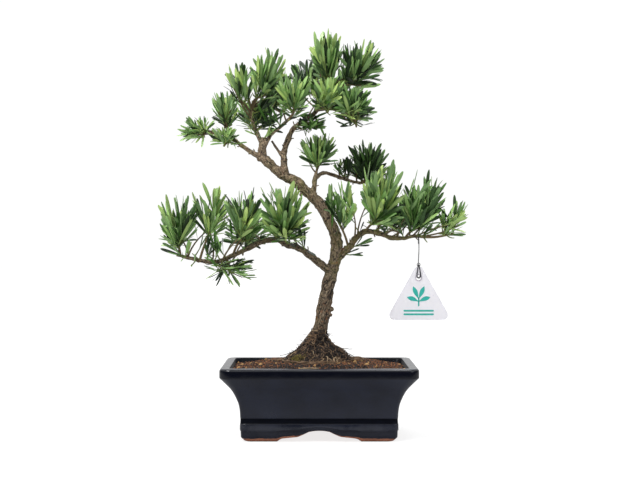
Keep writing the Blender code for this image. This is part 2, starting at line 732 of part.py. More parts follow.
def grow_mass(name, stems, routes, tag_obstacles):
    """Grow one mass by the rule: stem, shoots on a spiral, leaves on each shoot."""
    mass = MASSES[name]
    rng = random.Random(MASS_SEED + list(MASSES).index(name))
    planes = dividing_planes(name)
    limbs = []
    for route, radii in routes.values():
        limbs += samples(route, radii)
    limbs += tag_obstacles
    others = []
    for other, (route, radii) in stems.items():
        if other != name:
            others += samples(route, radii)
    obstacles = [(c, r) for c, r in limbs + others
                 if (c - Vector(mass.middle)).length < max(mass.reach) * OBSTACLE_RANGE]
    route, radii = stems[name]
    pieces = [tube(route, radii, TWIG_SIDES)]
    axis = (Vector(mass.middle) - route[-1]).normalized()
    if mass.reach[2] >= max(mass.reach[:2]):
        axis = (axis + UP).normalized()
    for i in range(mass.shoots):
        turn = i * GOLDEN_TURN + rng.uniform(-TURN_JITTER, TURN_JITTER)
        opening = FAN_ANGLE * math.sqrt((i + FIRST_OPENING) / mass.shoots)
        heading = fan_direction(axis, opening, turn)
        start = route[-1].lerp(route[-2], SHOOTS_DOWN_STEM * i / mass.shoots)
        room = distance_to_edge(route[-1], heading, mass)
        length = max(SHOOT_SHORT, room - mass.leaf * LEAF_OVERHANG) * rng.uniform(*SHOOT_LENGTHS)
        end = start + heading * length
        while length > SHOOT_SHORTEST and not (inside_reach(end, mass, planes)
                                               and clear_of(shoot_probes(start, end), obstacles)):
            length *= SHOOT_SHRINK
            end = start + heading * length
        if length <= SHOOT_SHORTEST:
            continue
        shoot = (start, end)
        pieces.append(tube(shoot, (SHOOT_DIAMETER / 2, SHOOT_DIAMETER / 2 * SHOOT_TAPER), TWIG_SIDES))
        for j in range(mass.leaves):
            share = LEAF_FIRST - LEAF_SPAN * j / mass.leaves
            spread = LEAF_TIP_ANGLE + (LEAF_LOW_ANGLE - LEAF_TIP_ANGLE) * j / (mass.leaves - 1)
            leaf = grow_leaf(shoot, share, j * GOLDEN_TURN + turn, spread, mass, planes, obstacles, rng)
            if leaf:
                pieces.append(leaf)
    return pieces


def make_mass(name, stems, routes, tag_obstacles):
    """Fuse a mass's stem, shoots and leaves into one solid, cut clear of its bough."""
    pieces = grow_mass(name, stems, routes, tag_obstacles)
    obj = add_object(name, *pieces[0])
    group = bpy.data.collections.new(name + "_pieces")
    bpy.context.scene.collection.children.link(group)
    for i, piece in enumerate(pieces[1:]):
        add_object(f"{name}_piece_{i}", *piece, collection=group)
    apply_boolean(obj, "UNION", collection=group, solver="MANIFOLD")
    for piece in list(group.objects):
        remove_object(piece)
    bpy.data.collections.remove(group)
    cut_clear(obj, MASSES[name].bough, routes)
    return finish_object(obj, "leaf_" + MASSES[name].tone, smooth=False)


def eye_centre(routes):
    """The middle of the wire's eye, on the centre line of the bough that it goes round."""
    route, _ = routes["bough_lower_right"]
    for a, b in zip(route, route[1:]):
        if a.x <= EYE_X <= b.x:
            return a.lerp(b, (EYE_X - a.x) / (b.x - a.x))
    return route[-1].copy()


def tag_space(routes):
    """Round obstacles that keep leaves away from the wire and its swing."""
    centre = eye_centre(routes)
    return [(centre, TAG_KEEP_CLEAR), (centre - UP * TAG_KEEP_CLEAR, TAG_KEEP_CLEAR)]


def make_wire(routes):
    """A closed eye round the bough, a shank, and a clip whose pin is through the tag."""
    centre = eye_centre(routes)
    ring = []
    for i in range(EYE_SIDES):
        turn = 2 * math.pi * i / EYE_SIDES
        ring.append(centre + Vector((0, math.sin(turn), -math.cos(turn))) * EYE_RADIUS)
    verts, faces = [], []
    for i, point in enumerate(ring):
        out = (point - centre).normalized()
        for k in range(WIRE_SIDES):
            turn = 2 * math.pi * k / WIRE_SIDES
            across = out * math.cos(turn) + Vector((1, 0, 0)) * math.sin(turn)
            verts.append(point + across * WIRE_DIAMETER / 2)
    for i in range(EYE_SIDES):
        for k in range(WIRE_SIDES):
            a, b = i * WIRE_SIDES + k, i * WIRE_SIDES + (k + 1) % WIRE_SIDES
            c = ((i + 1) % EYE_SIDES) * WIRE_SIDES
            faces.append((a, b, c + (k + 1) % WIRE_SIDES, c + k))
    wire = add_object("tag_wire", verts, faces)
    fix_facing(wire.data)
    parts = [
        tube([centre - UP * EYE_RADIUS, Vector((centre.x, centre.y, CLIP_TOP - CLIP_WIDTH / 3))],
             [WIRE_DIAMETER / 2] * 2, WIRE_SIDES),
        box_shape(Vector((centre.x, centre.y, CLIP_TOP)), CLIP_WIDTH, tag_leg_span(), CLIP_WIDTH / 2),
        tube([Vector((centre.x, centre.y - tag_leg_span() / 2 + GAP, TAG_HOLE_Z)),
              Vector((centre.x, centre.y + tag_leg_span() / 2 - GAP, TAG_HOLE_Z))],
             [PIN_RADIUS] * 2, WIRE_SIDES + 2),
    ]
    for side in (-1, 1):
        leg_y = centre.y + side * (tag_leg_span() - CLIP_THICKNESS) / 2
        leg_height = CLIP_TOP - TAG_HOLE_Z + CLIP_WIDTH
        leg_middle = Vector((centre.x, leg_y, (CLIP_TOP + TAG_HOLE_Z - CLIP_WIDTH) / 2))
        parts.append(box_shape(leg_middle, CLIP_WIDTH, CLIP_THICKNESS, leg_height))
    for i, part in enumerate(parts):
        piece = add_object(f"wire_piece_{i}", *part)
        apply_boolean(wire, "UNION", piece)
        remove_object(piece)
    keep_largest_island(wire.data)
    return finish_object(wire, "tag_wire")


def tag_leg_span():
    """Outside width of the clip's two legs, one each side of the tag's plate."""
    return TAG_THICKNESS + 2 * CLIP_THICKNESS + 2 * TAG_PLAY


def box_shape(middle, size_x, size_y, size_z):
    corners = [middle + Vector((x * size_x, y * size_y, z * size_z)) / 2
               for z in (-1, 1) for y in (-1, 1) for x in (-1, 1)]
    faces = [(0, 2, 3, 1), (4, 5, 7, 6), (0, 1, 5, 4), (2, 6, 7, 3), (0, 4, 6, 2), (1, 3, 7, 5)]
    return corners, faces


def fix_facing(mesh):
    bm = bmesh.new()
    bm.from_mesh(mesh)
    bmesh.ops.recalc_face_normals(bm, faces=bm.faces)
    bm.to_mesh(mesh)
    bm.free()


def tag_outline(x):
    """A triangle with round corners, apex up, as points in the tag's own plane."""
    corners = [(x, TAG_TOP_Z), (x - TAG_HALF_WIDTH, TAG_BOTTOM_Z), (x + TAG_HALF_WIDTH, TAG_BOTTOM_Z)]
    outline = []
    for i, corner in enumerate(corners):
        here = Vector(corner)
        before = (Vector(corners[i - 1]) - here).normalized()
        after = (Vector(corners[(i + 1) % 3]) - here).normalized()
        half = before.angle(after) / 2
        centre = here + (before + after).normalized() * TAG_CORNER / math.sin(half)
        start = here + before * TAG_CORNER / math.tan(half) - centre
        sweep = math.pi - 2 * half
        for step in range(TAG_STEPS + 1):
            turn = sweep * step / TAG_STEPS
            outline.append((centre.x + start.x * math.cos(turn) - start.y * math.sin(turn),
                            centre.y + start.x * math.sin(turn) + start.y * math.cos(turn)))
    return outline


def make_tag(routes):
    """The blank plate, with the hole that the clip's pin goes through."""
    centre = eye_centre(routes)
    outline = tag_outline(centre.x)
    count = len(outline)
    verts = []
    for side in (-1, 1):
        for x, z in outline:
            verts.append(Vector((x, centre.y + side * TAG_THICKNESS / 2, z)))
    faces = [tuple(range(count)), tuple(reversed(range(count, 2 * count)))]
    for k in range(count):
        a, b = k, (k + 1) % count
        faces.append((a, a + count, b + count, b))
    tag = add_object("tag", verts, faces)
    fix_facing(tag.data)
    ends = [Vector((centre.x, centre.y + side * TAG_CORNER, TAG_HOLE_Z)) for side in (-1, 1)]
    hole = add_object("tag_hole_cutter", *tube(ends, [TAG_HOLE_RADIUS] * 2, HOLE_SIDES))
    apply_boolean(tag, "DIFFERENCE", hole)
    remove_object(hole)
    return finish_object(tag, "tag_plastic")


def centre_on_ground(objects):
    """Move every mesh so that the origin is under the middle of the whole box."""
    corners = [v.co for obj in objects for v in obj.data.vertices]
    middle = [(min(c[i] for c in corners) + max(c[i] for c in corners)) / 2 for i in (0, 1)]
    shift = Matrix.Translation((-middle[0], -middle[1], 0))
    for obj in objects:
        obj.data.transform(shift)


def main():
    clear_scene()
    pot = make_pot()
    soil = make_soil()
    routes, limbs = make_limbs()
    stems = {name: mass_stem(mass, routes) for name, mass in MASSES.items()}
    keep_clear = tag_space(routes)
    foliage = [make_mass(name, stems, routes, keep_clear) for name in MASSES]
    wire = make_wire(routes)
    tag = make_tag(routes)
    centre_on_ground([pot, soil, wire, tag] + limbs + foliage)


main()
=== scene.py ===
# A podocarpus bonsai in a glazed rectangular pot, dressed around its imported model.
# Metres, +Z up, +X to the right of the front view, -Y towards the viewer. Tables inside
# metres() are in tenths of a millimetre. All are in the plan frame, where X = 0 is straight
# ahead of the camera and Y = 0 is the middle of the pot; SHIFT takes them to the model's.

import json
import math
import random
from collections import namedtuple

import bmesh
import bpy
import numpy as np
from mathutils import Matrix, Quaternion, Vector, noise
from mathutils.kdtree import KDTree

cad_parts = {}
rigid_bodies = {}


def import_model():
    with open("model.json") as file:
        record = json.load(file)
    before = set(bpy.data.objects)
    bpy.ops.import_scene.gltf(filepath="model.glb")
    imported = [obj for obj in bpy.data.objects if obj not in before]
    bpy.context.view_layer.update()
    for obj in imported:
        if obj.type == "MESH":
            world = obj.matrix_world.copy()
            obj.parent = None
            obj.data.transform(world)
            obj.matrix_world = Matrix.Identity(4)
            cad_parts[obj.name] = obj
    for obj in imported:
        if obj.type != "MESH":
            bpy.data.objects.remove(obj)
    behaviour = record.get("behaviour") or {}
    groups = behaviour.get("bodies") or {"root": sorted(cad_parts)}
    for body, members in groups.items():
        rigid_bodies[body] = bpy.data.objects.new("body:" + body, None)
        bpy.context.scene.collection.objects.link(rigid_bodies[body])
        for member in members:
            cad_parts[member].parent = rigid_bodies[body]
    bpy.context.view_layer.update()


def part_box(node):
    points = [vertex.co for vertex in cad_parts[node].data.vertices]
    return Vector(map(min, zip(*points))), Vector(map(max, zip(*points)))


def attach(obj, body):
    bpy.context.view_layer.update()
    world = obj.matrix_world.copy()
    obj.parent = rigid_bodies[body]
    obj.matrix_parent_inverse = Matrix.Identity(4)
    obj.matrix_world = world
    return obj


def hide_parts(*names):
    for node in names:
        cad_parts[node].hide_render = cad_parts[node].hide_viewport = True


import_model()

UP = Vector((0, 0, 1))
GOLDEN_TURN = math.radians(137.5)


def metres(table):
    """A table given in tenths of a millimetre, however deep, in metres."""
    if isinstance(table, (int, float)):
        return table / 10000
    return tuple(metres(part) for part in table)


# The pot, as in the part's source: sizes over the rim, and its outer profile and the arch
# of its feet as heights or half widths with how far each stands in or rises.
POT_X = 0.0081
HALF_X = 0.120
HALF_Y = 0.085
POT_HEIGHT = 0.090
LIP_WIDTH = 0.013
WALL_FOOT_INSET = 0.036
FLOOR_TOP = 0.020
WALL_CURVE = 0.8
UPRIGHT_SHARE = 0.25
INNER_CORNER_SHARE = 0.55
OUTER_CORNER_SHARE = 0.3
SMALLEST_CORNER = 0.004
RIM_CORNER = 0.014
RIM_EDGE = 0.0035
LIP_EDGE = 0.0022
FOOT_TOP = 0.0212
BODY_FOOT = 0.0283
BODY_TOP = 0.0765
POT_PROFILE = metres((
    (0, 300), (50, 250), (125, 247), (140, 238), (212, 238), (220, 251), (275, 259), (283, 241),
    (378, 237), (462, 221), (540, 189), (630, 143), (708, 73), (765, 20), (785, 0), (865, 0)))
ARCH = metres(((510, 0), (460, 36), (260, 58), (190, 88), (125, 119), (60, 131), (0, 134)))
ARCH_SIDE_SHARE = 0.62

# The soil: level with the wall a little under the rim, heaped under the trunk.
SOIL_EDGE_TOP = 0.0845
SOIL_HEAP_TOP = 0.0930
HEAP_HALF_X = 0.052
HEAP_HALF_Y = 0.050
SOIL_CORNER = 0.008
HEAP_CORNER = 0.038
SOIL_GAP = 0.0004

# The root mound: heights, with the radius and the middle's X at each.
MOUND_Z, MOUND_RADII, MOUND_X = zip(*metres((
    (885, 485, 28), (930, 435, 40), (980, 374, 56), (1025, 322, 68), (1060, 284, 72),
    (1100, 230, 62), (1145, 176, 50), (1205, 126, 58), (1280, 92, 80), (1340, 76, 96))))

# The trunk as points with diameters, from above the root flare to the sawn tip.
TRUNK = metres((
    (20, 0, 980, 185), (50, 0, 1120, 182), (84, 0, 1280, 176), (140, -10, 1559, 174),
    (205, -20, 1920, 160), (282, -30, 2190, 150), (302, -30, 2430, 143), (232, -10, 2629, 138),
    (105, 5, 2868, 132), (-158, 15, 3127, 126), (-343, 20, 3243, 121), (-520, 5, 3381, 115),
    (-624, 0, 3506, 108), (-615, 0, 3726, 96)))

# Each bough: its first and last diameter, and its route.
Bough = namedtuple("Bough", "first last route")
BOUGHS = {"bough_" + name: Bough(*metres(row)) for name, row in {
    "lower_left": (94, 42, (
        (258, -30, 2020), (90, -50, 2150), (-114, -70, 2310), (-338, -70, 2391), (-450, -60, 2445),
        (-676, -40, 2404), (-948, 0, 2270), (-1219, 0, 2166), (-1489, 0, 2204), (-1706, 0, 2256))),
    "lower_right": (98, 36, (
        (270, -30, 2150), (350, -20, 2250), (465, 0, 2355), (531, 0, 2449), (619, 0, 2521),
        (706, 0, 2549), (849, 0, 2521), (991, 0, 2470), (1135, 0, 2464), (1279, 0, 2491),
        (1400, 0, 2480))),
    "stub": (72, 48, ((15, 0, 2955), (18, 0, 3100), (30, 0, 3200), (52, 0, 3310))),
    "middle_right": (52, 38, (
        (30, 10, 3215), (132, 90, 3285), (247, 180, 3268), (472, 340, 3198), (624, 460, 3175))),
    "leader": (92, 34, (
        (-343, 20, 3243), (-360, 30, 3420), (-352, 50, 3570), (-308, 60, 3704), (-247, 60, 3829),
        (-165, 60, 3905), (-50, 50, 3974), (80, 40, 4100), (160, 40, 4250), (210, 40, 4380))),
    "leader_spur": (50, 30, ((-355, 40, 3480), (-420, 40, 3550), (-515, 60, 3690))),
    "crown_right": (42, 30, ((60, 42, 4080), (210, 80, 4090), (390, 100, 4060))),
    "crown_left": (60, 34, (
        (-620, 0, 3600), (-520, -60, 3755), (-400, -100, 3850), (-290, -140, 3950))),
    "crown_left_upright": (62, 34, (
        (-620, 0, 3620), (-700, 0, 3790), (-760, 20, 3950), (-755, 40, 4130))),
    "upper_left": (66, 38, (
        (-620, 0, 3470), (-769, -20, 3540), (-893, -40, 3627), (-1080, -40, 3752),
        (-1225, -30, 3777), (-1348, -30, 3814))),
}.items()}

# Each mass of foliage: the bough that carries it and how far along, the middle of its
# reach and its half sizes, its shoots, leaves to a shoot, leaf length and leaf tone.
Mass = namedtuple("Mass", "bough along middle reach shoots leaves leaf tone")
MASSES = {"foliage_" + row[0]: Mass("bough_" + row[1], row[2], metres(row[3]), metres(row[4]),
                                    row[5], row[6], metres(row[7]), row[8]) for row in (
    ("upper_left_tip", "upper_left", 0.93, (-1440, -80, 3780), (235, 230, 200), 4, 4, 280, "mid"),
    ("upper_left_high", "upper_left", 0.62, (-1090, -60, 4080), (170, 210, 260), 4, 4, 340, "mid"),
    ("upper_left_low", "upper_left", 0.52, (-1100, -180, 3710), (190, 150, 140), 3, 4, 260, "young"),
    ("crown_left_outer", "crown_left_upright", 0.75, (-920, -40, 4410), (190, 230, 270), 4, 4, 380, "mid"),
    ("crown_left_low", "crown_left_upright", 0.40, (-720, 360, 4050), (270, 270, 210), 4, 4, 340, "dark"),
    ("crown_left_top", "crown_left_upright", 1.0, (-560, -80, 4510), (220, 250, 350), 5, 4, 440, "young"),
    ("crown_front", "crown_left", 1.0, (-230, -360, 4250), (220, 230, 250), 4, 4, 380, "mid"),
    ("crown_back", "leader", 0.86, (-100, 360, 4500), (200, 240, 250), 4, 4, 360, "dark"),
    ("crown_top", "leader", 1.0, (165, 40, 4760), (210, 250, 345), 6, 4, 420, "mid"),
    ("crown_right_top", "leader", 0.94, (610, 50, 4630), (280, 280, 320), 6, 5, 440, "mid"),
    ("crown_middle", "leader", 0.78, (190, -260, 4200), (220, 230, 240), 4, 4, 360, "young"),
    ("crown_right_low", "crown_right", 1.0, (560, 340, 4070), (260, 250, 240), 4, 4, 360, "dark"),
    ("crown_front_right", "crown_right", 0.75, (490, -360, 4100), (240, 270, 240), 4, 4, 360, "mid"),
    ("crown_inner_low", "leader", 0.60, (-20, -60, 3830), (190, 200, 170), 3, 4, 280, "dark"),
    ("crown_back_left", "crown_left_upright", 0.96, (-400, 600, 4330), (280, 260, 320), 5, 4, 380, "mid"),
    ("crown_back_right", "leader", 0.70, (320, 680, 4400), (300, 260, 340), 5, 4, 400, "mid"),
    ("stub", "stub", 1.0, (70, -30, 3555), (260, 220, 220), 4, 4, 340, "mid"),
    ("middle_right", "middle_right", 1.0, (720, 560, 3450), (270, 280, 280), 5, 4, 380, "dark"),
    ("middle_right_small", "middle_right", 0.66, (400, 360, 3360), (140, 140, 140), 2, 4, 220, "dark"),
    ("lower_right_inner", "lower_right", 0.20, (340, -300, 2860), (210, 250, 320), 5, 4, 400, "young"),
    ("lower_right_middle", "lower_right", 0.43, (870, -220, 3030), (260, 300, 445), 6, 5, 480, "young"),
    ("lower_right_outer", "lower_right", 0.82, (1390, 50, 2910), (280, 300, 400), 6, 5, 440, "young"),
    ("lower_right_tip", "lower_right", 1.0, (1755, -40, 2730), (185, 200, 270), 3, 4, 380, "young"),
    ("lower_right_back", "lower_right", 0.62, (1120, 500, 2760), (300, 270, 300), 4, 4, 380, "dark"),
    ("lower_left_tip", "lower_left", 0.975, (-1685, -30, 2680), (255, 280, 360), 5, 4, 420, "mid"),
    ("lower_left_middle", "lower_left", 0.86, (-1280, 60, 2810), (230, 280, 340), 5, 5, 420, "young"),
    ("lower_left_front", "lower_left", 0.66, (-850, -240, 2750), (250, 280, 350), 5, 4, 420, "young"),
    ("lower_left_inner", "lower_left", 0.33, (-350, -300, 2770), (320, 320, 395), 6, 5, 460, "young"),
    ("lower_left_under", "lower_left", 0.70, (-1000, 30, 2030), (340, 230, 180), 4, 2, 260, "dark"),
    ("lower_left_back", "lower_left", 0.56, (-840, 440, 2620), (340, 270, 300), 5, 4, 380, "mid"),
)}

# Small tufts that leave a bough low down, beside the mass they belong to: how far along
# the bough, which way, how long, the leaves, their share of the mass's, and their tone.
TUFTS = {
    "lower_right_outer": (
        (0.93, (0.35, -0.45, 0.75), 0.010, 9, 0.60, 3), (0.90, (0.90, -0.35, 0.05), 0.009, 7, 0.62, 3),
        (0.80, (-0.25, -0.55, 0.70), 0.008, 7, 0.50, 3), (0.86, (0.10, 0.60, 0.55), 0.010, 8, 0.60, 2),
        (0.965, (0.80, 0.10, 0.35), 0.010, 8, 0.58, 2), (0.99, (0.50, -0.10, -0.80), 0.004, 3, 0.30, 3)),
    "lower_right_middle": (
        (0.47, (0.80, -0.30, 0.20), 0.010, 7, 0.60, 3), (0.60, (0.55, -0.45, 0.50), 0.009, 7, 0.55, 2),
        (0.38, (-0.50, -0.40, 0.60), 0.009, 7, 0.55, 2)),
    "lower_right_inner": (
        (0.22, (0.75, -0.40, 0.05), 0.009, 7, 0.55, 3), (0.12, (0.80, -0.20, -0.15), 0.007, 6, 0.50, 3)),
    "lower_left_inner": (
        (0.30, (-0.45, -0.55, 0.55), 0.011, 9, 0.60, 3), (0.40, (0.35, -0.60, 0.50), 0.011, 9, 0.60, 2),
        (0.20, (-0.30, -0.60, 0.60), 0.010, 8, 0.52, 3)),
    "lower_left_front": (
        (0.52, (-0.50, -0.50, 0.40), 0.011, 9, 0.60, 3), (0.60, (0.40, -0.60, 0.50), 0.010, 9, 0.58, 2),
        (0.70, (-0.30, -0.65, 0.35), 0.011, 9, 0.60, 3)),
    "lower_left_middle": (
        (0.78, (0.30, -0.60, 0.45), 0.011, 9, 0.60, 2), (0.86, (-0.45, -0.50, 0.40), 0.011, 9, 0.62, 3),
        (0.82, (0.15, -0.55, 0.75), 0.014, 9, 0.55, 4), (0.74, (-0.35, -0.45, 0.75), 0.014, 9, 0.55, 3),
        (0.90, (0.45, 0.40, 0.70), 0.014, 9, 0.55, 2)),
    "lower_left_tip": (
        (0.94, (-0.30, -0.60, 0.10), 0.010, 8, 0.60, 2), (0.97, (-0.60, -0.30, 0.60), 0.010, 7, 0.55, 3)),
    "lower_left_under": (
        (0.80, (0.85, -0.35, -0.42), 0.030, 11, 0.95, 1), (0.72, (-0.35, -0.50, -0.70), 0.016, 9, 0.90, 3),
        (0.88, (-0.25, -0.60, -0.40), 0.010, 6, 1.00, 1)),
    "upper_left_low": (
        (0.45, (-0.10, -0.50, -0.20), 0.006, 6, 0.60, 2), (0.33, (-0.55, -0.30, 0.45), 0.008, 6, 0.62, 1)),
    "crown_left_low": (
        (0.25, (-0.70, -0.40, 0.30), 0.009, 7, 0.60, 1), (0.55, (0.50, -0.60, 0.30), 0.014, 10, 0.80, 3),
        (0.35, (0.45, -0.45, 0.45), 0.014, 10, 0.80, 4), (0.45, (-0.30, -0.70, 0.50), 0.014, 10, 0.80, 4),
        (0.65, (0.10, -0.70, 0.45), 0.014, 10, 0.80, 3), (0.30, (-0.55, -0.55, 0.45), 0.012, 10, 0.80, 3),
        (0.50, (-0.60, -0.45, 0.20), 0.012, 10, 0.80, 2), (0.42, (0.70, -0.40, 0.10), 0.012, 10, 0.75, 4),
        (0.12, (0.60, -0.60, 0.45), 0.008, 8, 0.60, 1)),
    "crown_left_top": (
        (0.80, (0.60, -0.55, 0.15), 0.014, 10, 0.64, 4), (0.70, (0.75, -0.30, 0.55), 0.016, 10, 0.64, 3)),
    "crown_left_outer": ((0.60, (-0.55, -0.50, 0.35), 0.012, 9, 0.66, 3),),
    "crown_front": (
        (0.70, (-0.25, -0.60, 0.45), 0.010, 8, 0.62, 2), (0.45, (-0.35, -0.50, 0.65), 0.012, 9, 0.70, 3),
        (0.60, (-0.60, 0.10, 0.65), 0.012, 9, 0.70, 4), (0.88, (0.60, -0.35, 0.25), 0.011, 8, 0.66, 3)),
    "crown_inner_low": (
        (0.62, (0.35, -0.55, -0.35), 0.008, 7, 0.80, 3), (0.70, (0.10, -0.60, 0.40), 0.010, 8, 0.85, 2)),
}
TUFT_VIGOUR = 2.3

# The growing rule, as in the source, with finer twigs and more leaves.
MASS_SEED = 41
STEM_DIAMETER = 0.0034
SHOOT_DIAMETER = 0.0024
SIDE_TWIG_DIAMETER = 0.0017
LOW_TWIG_DIAMETER = 0.0018
TUFT_DIAMETER = 0.0020
TWIG_TIP_DIAMETER = 0.0011
STEM_STEPS = 8
STEM_SHORTEST = 0.006
STEM_BEND = 0.45
HEART_DROP = 0.76
HANGING_DROP = 0.30
SIDE_STEMS = (-1, 1)
SIDE_STEM_DIAMETER = 0.0024
SIDE_STEM_APART = (0.04, 0.10)
SIDE_STEM_LEAVES = 14
SPUR_SEED = 29
SPUR_GAP = 0.013
SPUR_LENGTHS = (0.0008, 0.0042)
SPUR_DIAMETERS = (0.0016, 0.0028)
FAN_ANGLE = math.radians(74)
SHOOT_SHARE = 1.25
SHOOT_LENGTHS = (0.80, 1.0)
SHOOT_SHORT = 0.007
SHOOT_SHORTEST = 0.004
SHOOT_SHRINK = 0.8
SHOOTS_DOWN_STEM = 1.5
SHOOT_LIFT = 0.42
SHOOT_STEPS = 5
FIRST_OPENING = 0.2
TURN_JITTER = 0.3
LEAF_OVERHANG = 0.62
SIDE_TWIG_OPENING = math.radians(42)
SIDE_TWIG_SHARE = 0.5
SPRAY_LEAVES = 15
SIDE_SPRAY_LEAVES = 8
LOW_SPRAYS = 4
LOW_SPRAY_LEAVES = 8
LOW_LEAF_SHARE = 0.72
VIGOUR = (0.90, 1.12)
SQUARENESS = 3.4
INTERLEAVE = 0.006
LEAF_WIDTH_SHARE = 0.116
LEAF_TIP_ANGLE = math.radians(7)
LEAF_LOW_ANGLE = math.radians(70)
LEAF_LIFT = 0.30
LEAF_LOWEST = -0.12
LEAF_TURNED_UP = 0.8
LEAF_FIRST = 0.98
LEAF_SPAN = 0.90
LEAF_SHRINK = 0.92
LEAF_TRIES = 4
LEAF_SHORTEST = 0.0084
LEAF_MARGIN = 0.0005
LEAF_LENGTHS = (0.82, 1.34)
LEAF_ROLL = 0.55
LEAF_FACE_UP = 0.15
LEAF_MISSING = 0.06
OBSTACLE_RANGE = 1.8
TAG_KEEP_CLEAR = 0.0065

# The tag: a rounded triangle on a stiff wire whose eye is round a bough.
EYE_X = 0.1330
EYE_RADIUS = 0.0036
WIRE_RADIUS = 0.0006
CLIP_TOP = 0.2130
TAG_HOLE_Z = 0.1969
TAG_HOLE_RADIUS = 0.0030
EYELET_RADII = (0.0046, 0.0031)
TAG_TOP_Z = 0.2174
TAG_BOTTOM_Z = 0.1439
TAG_HALF_WIDTH = 0.0413
TAG_CORNER = 0.0065
TAG_HALF_THICK = 0.0006

POT_LOW, POT_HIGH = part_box("pot")
SHIFT = Vector(((POT_LOW[0] + POT_HIGH[0]) / 2 - POT_X, (POT_LOW[1] + POT_HIGH[1]) / 2, 0))


# ---- building nodes and meshes ----


class Nodes:
    """Adds nodes to a tree and joins them, so that a tree reads from first to last."""

    def __init__(self, tree):
        self.tree = tree
        tree.nodes.clear()

    def add(self, kind, inputs=None, **settings):
        node = self.tree.nodes.new(kind)
        for key, value in settings.items():
            setattr(node, key, value)
        for key, value in (inputs or {}).items():
            self.feed(node.inputs[key], value)
        return node

    def out(self, kind, inputs=None, socket=0, **settings):
        return self.add(kind, inputs, **settings).outputs[socket]

    def feed(self, socket, value):
        if isinstance(value, bpy.types.NodeSocket):
            self.tree.links.new(value, socket)
        else:
            socket.default_value = value

    def math(self, operation, *values):
        return self.out("ShaderNodeMath", dict(enumerate(values)), operation=operation)

    def plus(self, a, b):
        return self.math("ADD", a, b)

    def minus(self, a, b):
        return self.math("SUBTRACT", a, b)

    def times(self, a, b):
        return self.math("MULTIPLY", a, b)

    def scaled(self, vector, share):
        return self.out("ShaderNodeVectorMath", {0: vector, "Scale": share}, operation="SCALE")

    def mix(self, share, low, high):
        """Blend two colours."""
        return self.out("ShaderNodeMix", {0: share, 6: low, 7: high}, 2, data_type="RGBA")

    def blend(self, share, low, high):
        """Blend two numbers."""
        return self.out("ShaderNodeMix", {0: share, 2: low, 3: high}, data_type="FLOAT")

    def step(self, value, low, high):
        """0 below one value, 1 above another, and smooth between them."""
        return self.out("ShaderNodeMapRange", {0: value, 1: low, 2: high},
                        interpolation_type="SMOOTHSTEP")

    def noise(self, where, scale, detail=3.0, rough=0.55):
        return self.out("ShaderNodeTexNoise", {
            "Vector": where, "Scale": scale, "Detail": detail, "Roughness": rough}, "Fac")

    def patches(self, where, low, high, *size):
        return self.step(self.noise(where, *size), low, high)

    def painted(self, name):
        return self.out("ShaderNodeAttribute", None, "Fac", attribute_name=name)

    def carried(self, name, kind="FLOAT_VECTOR"):
        return self.out("GeometryNodeInputNamedAttribute", {"Name": name}, "Attribute", data_type=kind)


def new_group(name, kind, inputs, outputs):
    """A node group with named sockets, its nodes, its inputs and the node of its end."""
    tree = bpy.data.node_groups.new(name, kind)
    nodes = Nodes(tree)
    for direction, sockets in (("INPUT", inputs), ("OUTPUT", outputs)):
        for socket_name, socket_kind, *value in sockets:
            socket = tree.interface.new_socket(socket_name, in_out=direction,
                                               socket_type="NodeSocket" + socket_kind)
            if value:
                socket.default_value = value[0]
    return tree, nodes, nodes.add("NodeGroupInput").outputs, nodes.add("NodeGroupOutput")


def grown(source, tree, values):
    """Run a Geometry Nodes tree on an object and return its result as a plain mesh."""
    modifier = source.modifiers.new(tree.name, "NODES")
    modifier.node_group = tree
    for item in tree.interface.items_tree:
        if item.item_type == "SOCKET" and item.in_out == "INPUT" and item.name in values:
            modifier[item.identifier] = values[item.name]
    mesh = evaluated(source)
    source.modifiers.clear()
    return mesh


def evaluated(source):
    depsgraph = bpy.context.evaluated_depsgraph_get()
    return bpy.data.meshes.new_from_object(source.evaluated_get(depsgraph))


def scene_object(name, data):
    obj = bpy.data.objects.new(name, data)
    bpy.context.scene.collection.objects.link(obj)
    return obj


def mesh_from(name, verts, faces, edges=()):
    mesh = bpy.data.meshes.new(name)
    mesh.from_pydata([tuple(v) for v in verts], edges, faces)
    mesh.update()
    return mesh


def remove_object(obj):
    bpy.data.objects.remove(obj, do_unlink=True)


def smooth_shaded(mesh, angle):
    mesh.shade_smooth()
    mesh.set_sharp_from_angle(angle=math.radians(angle))


def finish_piece(name, mesh, body, slot_name, *nodes):
    """Set a piece in the scene on the body it rides on, and hide the parts that it stands for. Its slot
    name is not used.
    """
    obj = scene_object(name, mesh)
    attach(obj, body)
    if nodes:
        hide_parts(*nodes)


def write_attribute(mesh, name, values, kind="FLOAT"):
    field = "vector" if kind == "FLOAT_VECTOR" else "value"
    data = mesh.attributes.new(name, kind, "POINT").data
    data.foreach_set(field, np.asarray(values, dtype=np.float32).ravel())


def read_points(items, field):
    points = np.empty(len(items) * 3, dtype=np.float32)
    items.foreach_get(field, points)
    return points.reshape(-1, 3)


def facing_out(mesh):
    bm = bmesh.new()
    bm.from_mesh(mesh)
    bmesh.ops.recalc_face_normals(bm, faces=bm.faces)
    bm.to_mesh(mesh)
    bm.free()


def lofted(levels, count):
    """Faces of a closed loft through rings of points: first cap, sides and last cap."""
    sides = []
    for i in range(levels - 1):
        for k in range(count):
            a, b = i * count + k, i * count + (k + 1) % count
            sides.append((a, b, b + count, a + count))
    return tuple(reversed(range(count))), sides, tuple(range((levels - 1) * count, levels * count))


def clamped(value):
    return max(0.0, min(1.0, value))


# ---- finishes ----


def colour(*screen):
    """A colour given as a screen shows it, as the renderer counts it."""
    linear = []
    for value in screen:
        share = value / 255
        linear.append(share / 12.92 if share <= 0.04045 else ((share + 0.055) / 1.055) ** 2.4)
    return (*linear, 1.0)


